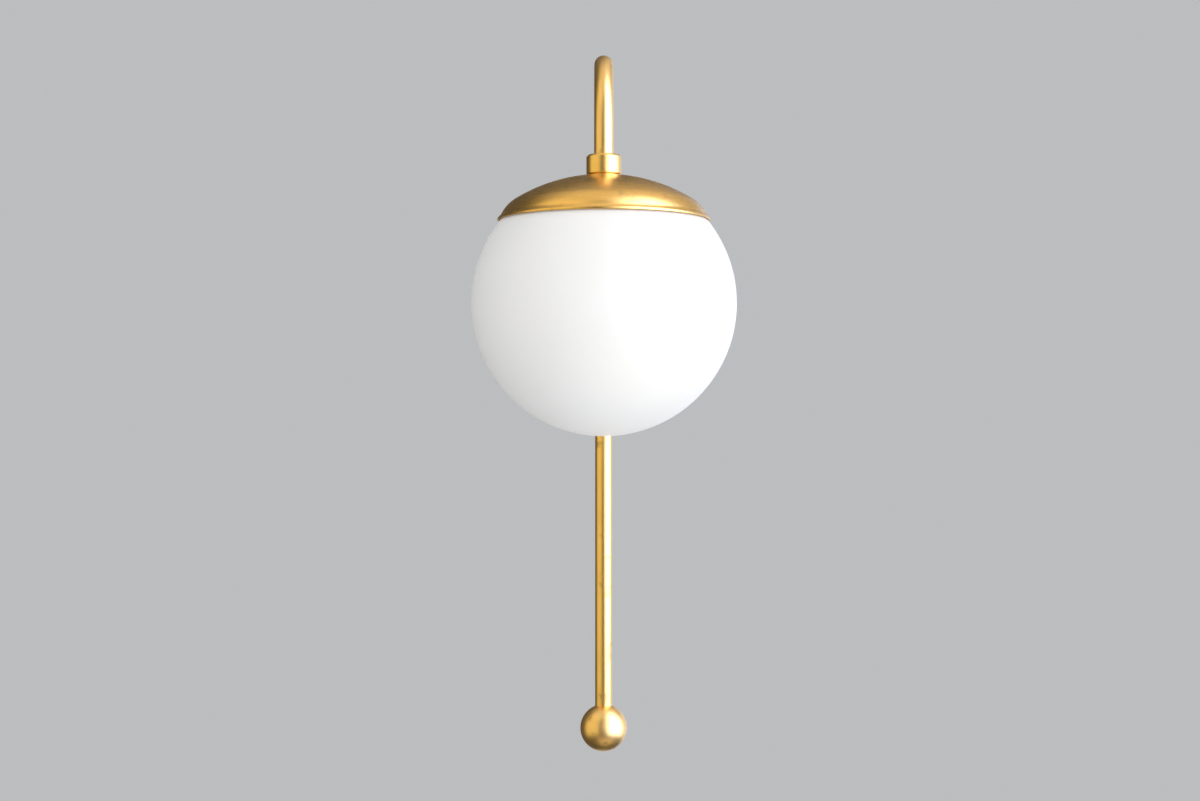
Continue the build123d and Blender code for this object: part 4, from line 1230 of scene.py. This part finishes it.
@dataclass
class WallPlate(SubAssembly):
    """The canopy with the crossbar and the fastenings behind it."""

    wall: float = 1.0 * MM
    shoulder: float = 12.0 * MM
    rim_ease: float = 0.35 * MM
    stud_spacing: float = 50.8 * MM
    stud_radius: float = 2.05 * MM
    stud_clearance: float = 0.35 * MM
    stud_tap_gap: float = 0.05 * MM
    stud_nut_across_flats: float = 8.7 * MM
    stud_nut_thickness: float = 3.0 * MM
    nut_thickness: float = 3.2 * MM
    ball_nut_neck_radius: float = 3.8 * MM
    ball_nut_hole: float = 6.2 * MM
    ball_nut_ease: float = 0.3 * MM
    connector_radius: float = 5.0 * MM
    connector_tip_radius: float = 3.2 * MM
    connector_length: float = 20.0 * MM
    connector_ease: float = 0.5 * MM
    connector_skirt: float = 0.24
    connector_flutes: int = 10
    flute_radius: float = 1.1 * MM
    flute_depth: float = 0.45 * MM
    wire_grip: float = 5.0 * MM
    insulation_bore: float = 1.2 * MM
    bare_bore: float = 0.75 * MM

    def build(self) -> None:
        """Model the pieces from the canopy inwards."""
        self.stud_shift = (self.stud_spacing, 0, 0)
        self.first_stud = (-self.stud_spacing / 2, 0, 0)
        self.stud_tap = self.stud_radius + self.stud_tap_gap
        self.build_canopy()
        self.build_ball_nuts()
        self.build_studs()
        self.build_nipple()
        self.dress_crossbar()
        self.build_connectors()

    def build_canopy(self) -> None:
        """Spin the pan and drill it for the two studs."""
        pan = Extent.of("wall_canopy")
        outer, depth, wall, ease = pan.size.x / 2, pan.size.y, self.wall, self.rim_ease
        corners = [(PIPE.tapped_radius, depth, 0.0), (outer, depth, self.shoulder), (outer, 0, ease),
                   (outer - wall, 0, ease), (outer - wall, depth - wall, self.shoulder - wall),
                   (PIPE.tapped_radius, depth - wall, 0.0)]
        piece = turned("spun_canopy", rounded(corners, steps=14), segments=160)
        moved(piece, (0, 0, 0), outwards=True)
        drill_radius = self.stud_radius + self.stud_clearance
        for side in (-1, 1):
            place = (side * self.stud_spacing / 2, 0, 0)
            drilled(piece, drill_radius, depth / 2, depth * 2, place, outwards=True, segments=32)
        brass = SatinBrass("satin brass, canopy", outwards=True, roughness=0.24, cloud_size=24.0)
        self.keep(piece, brass, "satin_brass", "wall_canopy", smooth=40)

    def build_ball_nuts(self) -> None:
        """Turn one ball nut on its neck and copy it."""
        nuts = Extent.of("canopy_ball_nuts")
        front, back, radius = -nuts.low.y, -nuts.high.y, nuts.size.z / 2
        neck, hole, ease = self.ball_nut_neck_radius, self.stud_tap, self.ball_nut_ease
        neck_turn = -math.degrees(math.acos(neck / radius))
        profile = [(0, back + self.ball_nut_hole), (hole, back + self.ball_nut_hole), (hole, back),
                   (neck - ease, back), (neck, back + ease)]
        profile += arc((0, front - radius), radius, neck_turn, 90, steps=30)[:-1]
        profile.append((0, front))
        nut = moved(turned("ball_nut", profile, segments=64), self.first_stud, outwards=True)
        brass = SatinBrass("satin brass, ball nuts", outwards=True, roughness=0.24, cloud_size=90.0)
        pair = paired("turned_ball_nuts", nut, self.stud_shift)
        self.keep(pair, brass, "satin_brass", "canopy_ball_nuts", smooth=50)

    def build_studs(self) -> None:
        """Turn one threaded stud and one locknut, and copy both."""
        length = Extent.of("canopy_studs").size.y
        root = self.stud_radius - STUD_THREAD.depth
        rings = [(root, height) for height in STUD_THREAD.rings(0, length)]
        stud = turned("stud", [(0, 0), *rings, (0, length)], segments=40)
        STUD_THREAD.roll(stud, root, 0, length)
        pair = paired("threaded_studs", moved(stud, self.first_stud, outwards=True), self.stud_shift)
        self.keep(pair, ZINC, "zinc_steel", "canopy_studs", smooth=50)
        nut = HexNut(self.stud_nut_across_flats, self.stud_nut_thickness, self.stud_tap).build("stud_nut")
        place = (self.first_stud[0], Extent.of("stud_nuts").high.y, 0)
        pair = paired("stud_locknuts", moved(nut, place, outwards=True), self.stud_shift)
        self.keep(pair, ZINC, "zinc_steel", "stud_nuts")

    def build_nipple(self) -> None:
        """Turn the threaded pipe, its washer and its nut."""
        pipe = Extent.of("canopy_nipple")
        nipple = PIPE.nipple("threaded_canopy_nipple", -pipe.high.y, -pipe.low.y)
        self.keep_zinc(nipple, (0, 0, 0), "canopy_nipple", outwards=True, smooth=50)
        disc = Extent.of("canopy_washer")
        ring = washer("stamped_canopy_washer", PIPE.tapped_radius, disc.size.x / 2, disc.size.y)
        self.keep_zinc(ring, (0, disc.high.y, 0), "canopy_washer", outwards=True)
        nut = HexNut(PIPE.nut_across_flats, self.nut_thickness, PIPE.tapped_radius).build("canopy_hex_nut")
        self.keep_zinc(nut, (0, Extent.of("canopy_nut").high.y, 0), "canopy_nut", outwards=True)

    def dress_crossbar(self) -> None:
        """Dress the strap, the ground screw, the bushings and the ground wire."""
        self.dress(ZINC, "crossbar")
        self.dress(Moulded("green dyed steel", tone=(0.03, 0.26, 0.09), roughness=0.3), "ground_screw")
        self.dress(Moulded("bushing nylon", tone=(0.78, 0.77, 0.72), roughness=0.5), "lead_bushings")
        self.dress(BareWire("bare copper"), "ground_lead")

    def build_connector(self, mouth: Vector, bore: float, downwards: bool) -> Piece:
        """Mould one twist-on connector: a bored cone with flutes for the fingers.

        Args:
            mouth: middle of its mouth.
            bore: radius of the hole for the wire.
            downwards: whether the tip points down.

        Returns:
            The connector, at its place.
        """
        wide, narrow, grip = self.connector_radius, self.connector_tip_radius, self.wire_grip
        length, ease = self.connector_length, self.connector_ease
        corners = [(0, grip, 0.0), (bore, grip, 0.0), (bore, 0, 0.0), (wide, 0, ease),
                   (narrow, length, ease * 2), (0, length, 0.0)]
        cone = turned("wire_connector", rounded(corners, steps=4, closed=False), segments=72)
        lean = math.atan2(wide - narrow, length)
        middle = self.connector_skirt + 0.5
        reach = wide + (narrow - wide) * middle + self.flute_radius - self.flute_depth
        flutes = []
        for index in range(self.connector_flutes):
            pick()
            bpy.ops.mesh.primitive_cylinder_add(vertices=24, radius=self.flute_radius, depth=length,
                                                location=(reach, 0, length * middle), rotation=(0, -lean, 0))
            flute = bpy.context.active_object
            settle(flute)
            flute.rotation_euler = (0, 0, math.tau * index / self.connector_flutes)
            settle(flute)
            flutes.append(flute)
        combined(cone, joined("flutes", flutes), "DIFFERENCE")
        cone.rotation_euler = (math.pi if downwards else 0, 0, 0)
        cone.location = mouth
        settle(cone)
        return cone

    def build_connectors(self) -> None:
        """Mould one fluted connector for each lead and one for the ground wire."""
        box = Extent.of("wire_connectors")
        mouth = box.high.z - self.connector_length
        across = box.high.x - self.connector_radius
        places = [(across, mouth, self.insulation_bore, False), (-across, mouth, self.insulation_bore, False),
                  (Extent.of("ground_screw").middle.x, -mouth, self.bare_bore, True)]
        three = [self.build_connector(Vector((x, box.middle.y, z)), bore, downwards)
                 for x, z, bore, downwards in places]
        plastic = Moulded("connector nylon", tone=(0.72, 0.22, 0.03), roughness=0.42)
        piece = joined("fluted_connectors", three)
        self.keep(piece, plastic, "connector_plastic", "wire_connectors", smooth=40)


@dataclass
class LampHolder(SubAssembly):
    """The pipe, nut, spring, socket cap and porcelain holder inside the head."""

    cup_wall: float = 0.9 * MM
    cup_shoulder: float = 2.2 * MM
    cup_lip: float = 0.4 * MM
    neck_radius: float = 6.5 * MM
    neck_root_ease: float = 0.5 * MM
    neck_end_ease: float = 0.2 * MM
    holder_web: float = 9.0 * MM
    holder_top_ease: float = 0.8 * MM
    well_radius: float = 14.2 * MM
    well_ease: float = 0.4 * MM
    mouth_ease: float = 1.1 * MM
    mouth_inner_ease: float = 1.0 * MM
    groove_depth: float = 0.5 * MM
    groove_low: float = 10.0 * MM
    groove_high: float = 11.4 * MM
    groove_slope: float = 0.6 * MM
    groove_ease: float = 0.3 * MM
    shell_bore: float = 13.45 * MM
    shell_wall: float = 0.5 * MM
    shell_flange: float = 3.0 * MM

    def build(self) -> None:
        """Model the pieces from the pipe down."""
        self.axis = Vector((0, Extent.of("globe").middle.y, 0))
        self.build_pipe()
        self.build_cup()
        self.build_porcelain()
        self.build_shell()
        self.dress_contacts()

    def build_pipe(self) -> None:
        """Turn the threaded pipe, the washer and the nut under the cap."""
        pipe, disc, seat = (Extent.of(node) for node in ("cap_nipple", "cap_washer", "cap_nut"))
        nipple = PIPE.nipple("threaded_cap_nipple", pipe.low.z, pipe.high.z)
        self.keep_zinc(nipple, self.axis, "cap_nipple", smooth=50)
        ring = washer("stamped_cap_washer", PIPE.tapped_radius, disc.size.x / 2, disc.size.z)
        self.keep_zinc(ring, self.axis + Vector((0, 0, disc.low.z)), "cap_washer")
        nut = HexNut(PIPE.nut_across_flats, seat.size.z, PIPE.tapped_radius).build("cap_hex_nut")
        self.keep_zinc(nut, self.axis + Vector((0, 0, seat.low.z)), "cap_nut")
        self.dress(PlatedSteel("bright spring steel", tone=(0.66, 0.67, 0.68), cast=(0.55, 0.55, 0.54),
                               roughness=0.26, spangle=900.0), "globe_spring")

    def build_cup(self) -> None:
        """Draw the enamelled cup with its tapped neck."""
        cup = Extent.of("socket_cap")
        outer, low, high, wall, lip = cup.size.x / 2, cup.low.z, cup.high.z, self.cup_wall, self.cup_lip
        neck_low = Extent.of("cap_nipple").low.z
        corners = [(PIPE.tapped_radius, high, 0.0), (outer, high, self.cup_shoulder), (outer, low, lip),
                   (outer - wall, low, lip), (outer - wall, high - wall, self.cup_shoulder - wall),
                   (self.neck_radius, high - wall, self.neck_root_ease),
                   (self.neck_radius, neck_low, self.neck_end_ease), (PIPE.tapped_radius, neck_low, 0.0)]
        piece = moved(turned("drawn_cup", rounded(corners, steps=5), segments=96), self.axis)
        enamel = Moulded("white enamel", tone=(0.80, 0.80, 0.77), roughness=0.22, fineness=500.0, relief=0.08)
        self.keep(piece, enamel, "socket_steel", "socket_cap", smooth=45)

    def build_porcelain(self) -> None:
        """Throw the holder: a web on top, a well below and a thick rounded mouth."""
        holder = Extent.of("socket_body")
        outer, low, high = holder.size.x / 2, holder.low.z, holder.high.z
        well_z, groove, ease = high - self.holder_web, outer - self.groove_depth, self.groove_ease
        groove_low, groove_high = low + self.groove_low, low + self.groove_high
        corners = [(0, high, 0.0), (outer, high, self.holder_top_ease),
                   (outer, groove_high + self.groove_slope, ease), (groove, groove_high, ease),
                   (groove, groove_low, ease), (outer, groove_low - self.groove_slope, ease),
                   (outer, low, self.mouth_ease), (self.well_radius, low, self.mouth_inner_ease),
                   (self.well_radius, well_z, self.well_ease), (0, well_z, 0.0)]
        piece = turned("glazed_holder", rounded(corners, steps=5, closed=False), segments=96)
        moved(piece, self.axis)
        self.keep(piece, Porcelain("glazed porcelain"), "porcelain", "socket_body", smooth=45)

    def build_shell(self) -> None:
        """Press the screw shell, with the lamp thread rolled into its wall."""
        shell = Extent.of("screw_shell")
        low, high, seat = shell.low.z, shell.high.z, shell.high.z - self.shell_wall
        inner, flange = self.shell_bore - LAMP_THREAD.depth, self.shell_bore - self.shell_flange
        outer = inner + self.shell_wall
        rings = LAMP_THREAD.rings(low, seat)
        profile = [(inner, height) for height in rings]
        profile += [(flange, seat), (flange, high), (outer, high)]
        profile += [(outer, height) for height in reversed(rings)]
        profile.append(profile[0])
        piece = turned("rolled_shell", profile, segments=72)
        for root in (inner, outer):
            LAMP_THREAD.roll(piece, root, low - LAMP_THREAD.run_out, seat)
        moved(piece, self.axis)
        self.keep(piece, StampedBrass("stamped brass"), "contact_brass", "screw_shell", smooth=50)

    def dress_contacts(self) -> None:
        """Dress the tongue, rivets, terminals, screws and leads."""
        self.dress(StampedBrass("stamped brass"), "centre_contact", "contact_rivets", "hot_terminal",
                   "neutral_terminal")
        self.dress(PlatedSteel("nickel plated steel", tone=(0.68, 0.67, 0.64), cast=(0.60, 0.58, 0.52),
                               roughness=0.25, spangle=800.0), "socket_screws", "terminal_screws")
        self.dress(Moulded("black insulation", tone=(0.012, 0.012, 0.013), roughness=0.38), "hot_lead")
        self.dress(Moulded("white insulation", tone=(0.78, 0.78, 0.75), roughness=0.4), "neutral_lead")


@dataclass
class Bulb(SubAssembly):
    """The round clear bulb with its threaded base and its filaments."""

    base_wall: float = 0.4 * MM
    skirt: float = 4.0 * MM
    tip_radius: float = 4.75 * MM

    def build(self) -> None:
        """Model the base and dress the glass and the inner pieces."""
        self.build_base()
        self.dress(ClearGlass("clear bulb glass"), "bulb_envelope", "bulb_stem")
        self.dress(Moulded("black glass", tone=(0.015, 0.014, 0.018), roughness=0.12, relief=0.05),
                   "bulb_insulator")
        self.dress(BareWire("solder", tone=(0.66, 0.66, 0.67), dull=(0.42, 0.42, 0.43)), "bulb_contact")
        self.dress(Moulded("phosphor", tone=(0.85, 0.52, 0.08), roughness=0.5, fineness=4000.0, relief=0.5),
                   "led_filaments")
        self.dress(PlatedSteel("drawn nickel wire", tone=(0.62, 0.61, 0.58)), "filament_frame")

    def build_base(self) -> None:
        """Press the base, with the lamp thread rolled up its side."""
        base = Extent.of("bulb_base")
        low, high, root = base.low.z, base.high.z, base.size.x / 2 - LAMP_THREAD.depth
        bore, under = root - self.base_wall, high - self.base_wall
        outside = [(root, low)] + [(root, height) for height in LAMP_THREAD.rings(low + self.skirt, high)]
        tip = [(self.tip_radius, high), (self.tip_radius, under)]
        piece = turned("rolled_base", outside + tip + [(bore, under), (bore, low), (root, low)], segments=72)
        LAMP_THREAD.roll(piece, root, low + self.skirt, high)
        moved(piece, (0, Extent.of("globe").middle.y, 0))
        nickel = PlatedSteel("rolled nickel brass", tone=(0.70, 0.68, 0.63), cast=(0.62, 0.58, 0.50),
                             roughness=0.24, spangle=1200.0)
        self.keep(piece, nickel, "nickel_base", "bulb_base", body="bulb", smooth=50)


# Studio


@dataclass(frozen=True)
class Panel:
    """A soft bright or dim field of the room, as the metal reflects it.

    Azimuth is in degrees from the front, positive to the right; elevation is above the horizon.
    """

    azimuth: tuple[float, float]
    elevation: tuple[float, float]
    tint: Colour
    strength: float
    soft: float

    def glow(self, graph: Graph, azimuth: Socket, elevation: Socket) -> Socket:
        """The panel's light in one direction.

        Args:
            graph: graph of the world.
            azimuth: azimuth of the direction, in degrees.
            elevation: its elevation, in degrees.

        Returns:
            The light as a vector of red, green and blue.
        """
        share: Socket | float = 1.0
        for value, (low, high) in ((azimuth, self.azimuth), (elevation, self.elevation)):
            rise = self.edge(graph, value, low - self.soft / 2, low + self.soft / 2)
            fall = self.edge(graph, value, high + self.soft / 2, high - self.soft / 2)
            share = graph.math("MULTIPLY", graph.math("MULTIPLY", rise, fall), share)
        return graph.scaled([value * self.strength for value in self.tint], share)

    @staticmethod
    def edge(graph: Graph, value: Socket, start: float, end: float) -> Socket:
        """A smooth step of an angle between two limits."""
        return graph.value("MapRange", value, start, end, 0.0, 1.0, interpolation_type="SMOOTHSTEP")


@dataclass
class Studio:
    """Floor, background, lights and the camera at the photograph's viewing angle."""

    sensor_width: float = 36.0
    focal_pixels: float = 2100.0
    picture_width: float = 1200.0
    camera_gap: float = 1.2
    camera_side: float = -0.0022
    camera_height: float = -0.0886
    camera_pitch: float = 1.578
    floor_height: float = -1.3
    floor_radius: float = 3.6
    floor_fade: tuple[float, float] = (0.45, 0.98)
    floor_tint: Colour = (0.62, 0.63, 0.64)
    floor_roughness: float = 0.9
    backdrop: Colour = (0.50, 0.51, 0.52)
    ambient: Colour = (0.86, 0.8557, 0.8471)
    room: Colour = (0.10, 0.097, 0.095)
    window: ClassVar[Colour] = (0.95, 1.08, 1.75)
    back_wall: ClassVar[Colour] = (1.0, 0.99, 0.97)
    panels: tuple[Panel, ...] = (
        # A window on the right, and its upper part.
        Panel((25, 100), (-24, 36), window, 4.4, 26),
        Panel((28, 100), (36, 68), window, 3.6, 24),
        # A dim strip beside the window, near the front.
        Panel((4, 34), (-12, 40), (1.0, 0.98, 0.92), 0.75, 16),
        # A warm wall on the left.
        Panel((-100, -24), (-28, 62), (1.0, 0.90, 0.58), 0.86, 18),
        # The ceiling.
        Panel((-220, 220), (58, 120), (1.0, 0.93, 0.82), 0.8, 40),
        # The right rear corner, warm above and cool below.
        Panel((92, 168), (26, 62), (1.0, 0.92, 0.76), 0.46, 24),
        Panel((100, 168), (-30, 22), (0.92, 1.04, 1.45), 0.78, 20),
        # A warm floor in front.
        Panel((-45, 80), (-130, -46), (1.0, 0.86, 0.60), 0.62, 36),
        # The rear wall, on both sides of the seam of the azimuth.
        Panel((168, 220), (-50, 2), back_wall, 0.5, 16),
        Panel((-220, -168), (-50, 2), back_wall, 0.5, 16),
    )

    def build(self) -> None:
        """Set everything up round the lamp."""
        bpy.context.scene.view_settings.view_transform = "Standard"
        self.aim = Vector((0, Extent.of("globe").middle.y, 0.0))
        self.build_camera()
        self.build_floor()
        self.build_world()
        right = Vector((1.55, -1.50, 0.15))
        self.softbox("key_light", right, self.aim, size=2.6, power=32.5, tint=(1.0, 0.997, 0.99))
        under = Vector((0.35, -0.35, -0.6))
        upwards = under + Vector((0, 0, 1))
        self.softbox("low_fill", under, upwards, size=1.2, power=1.1, tint=(1.0, 0.995, 0.99))

    def build_camera(self) -> None:
        """Stand the camera in front of the globe, as far off and as high as the photograph's."""
        data = bpy.data.cameras.new("camera")
        data.sensor_width = self.sensor_width
        data.lens = self.sensor_width * self.focal_pixels / self.picture_width
        camera = bpy.data.objects.new("camera", data)
        camera.location = (self.camera_side, self.aim.y - self.camera_gap, self.camera_height)
        camera.rotation_euler = (math.radians(90 + self.camera_pitch), 0, 0)
        bpy.context.scene.collection.objects.link(camera)
        bpy.context.scene.camera = camera

    def build_floor(self) -> None:
        """A plain pale floor that fades out at its edge."""
        pick()
        centre = (0, 0, self.floor_height)
        bpy.ops.mesh.primitive_circle_add(vertices=96, radius=self.floor_radius, fill_type="NGON",
                                          location=centre)
        floor = bpy.context.active_object
        floor.name = "studio_floor"
        settle(floor)
        paint = bpy.data.materials.new("studio floor")
        paint.use_nodes = True
        graph = Graph(paint.node_tree)
        away = graph.value("VectorMath", graph.placed(centre), output=1, operation="LENGTH")
        fade = graph.spread(away, *(self.floor_radius * share for share in self.floor_fade), 1.0, 0.0)
        shader = paint.node_tree.nodes["Principled BSDF"]
        fed = {"Base Color": self.floor_tint, "Roughness": self.floor_roughness, "Alpha": fade}
        for name, value in fed.items():
            graph.feed(shader.inputs[name], value)
        floor.data.materials.append(paint)
        floor.visible_glossy = False

    def build_world(self) -> None:
        """A pale background to look at, plain soft light all round, and a room for the metal to reflect."""
        world = bpy.data.worlds.new("studio")
        world.use_nodes = True
        world.cycles.sampling_method = "NONE"
        bpy.context.scene.world = world
        graph = Graph(world.node_tree)
        world.node_tree.nodes.clear()
        path = graph.node("LightPath").outputs
        seen = graph.value("Background", self.backdrop)
        around = graph.value("Background", self.ambient)
        reflected = graph.value("Background", self.room_light(graph))
        indirect = graph.value("MixShader", path["Is Diffuse Ray"], reflected, around)
        direct = graph.math("MAXIMUM", path["Is Camera Ray"], path["Is Transmission Ray"])
        chosen = graph.value("MixShader", direct, indirect, seen)
        graph.feed(graph.node("OutputWorld").inputs["Surface"], chosen)

    def room_light(self, graph: Graph) -> Socket:
        """The light of the room in each direction: a dim base and the sum of its panels.

        Args:
            graph: graph of the world.

        Returns:
            The light as a vector of red, green and blue.
        """
        right, back, up = graph.parts(graph.node("TexCoord").outputs["Generated"])
        to_degrees = 180 / math.pi
        front = graph.math("MULTIPLY", back, -1.0)
        azimuth = graph.math("MULTIPLY", graph.math("ARCTAN2", right, front), to_degrees)
        elevation = graph.math("MULTIPLY", graph.math("ARCSINE", up), to_degrees)
        total: Socket | Colour = self.room
        for panel in self.panels:
            total = graph.value("VectorMath", total, panel.glow(graph, azimuth, elevation), operation="ADD")
        return total

    @staticmethod
    def softbox(name: str, place: Vector, aim: Vector, size: float, power: float, tint: Colour) -> None:
        """Hang a large soft light and turn it to the lamp. The metal reflects the room's panels instead.

        Args:
            name: name of the light.
            place: where it hangs.
            aim: the point that it faces.
            size: its width and height.
            power: its power in watts.
            tint: its colour.
        """
        data = bpy.data.lights.new(name, "AREA")
        data.shape = "RECTANGLE"
        data.size = data.size_y = size
        data.energy = power
        data.color = tint
        light = bpy.data.objects.new(name, data)
        light.location = place
        light.rotation_euler = (aim - place).to_track_quat("-Z", "Y").to_euler()
        light.visible_glossy = False
        light.visible_camera = False
        bpy.context.scene.collection.objects.link(light)


def main() -> None:
    """Build the lamp's looks and the studio."""
    logging.basicConfig(level=logging.INFO, format="%(name)s: %(message)s")
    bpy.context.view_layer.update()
    Studio().build()
    effects = Effects()
    for part in (GlobeHead, Stem, WallPlate, LampHolder, Bulb):
        part(effects).build()
    pick()


if __name__ == "__main__":
    main()
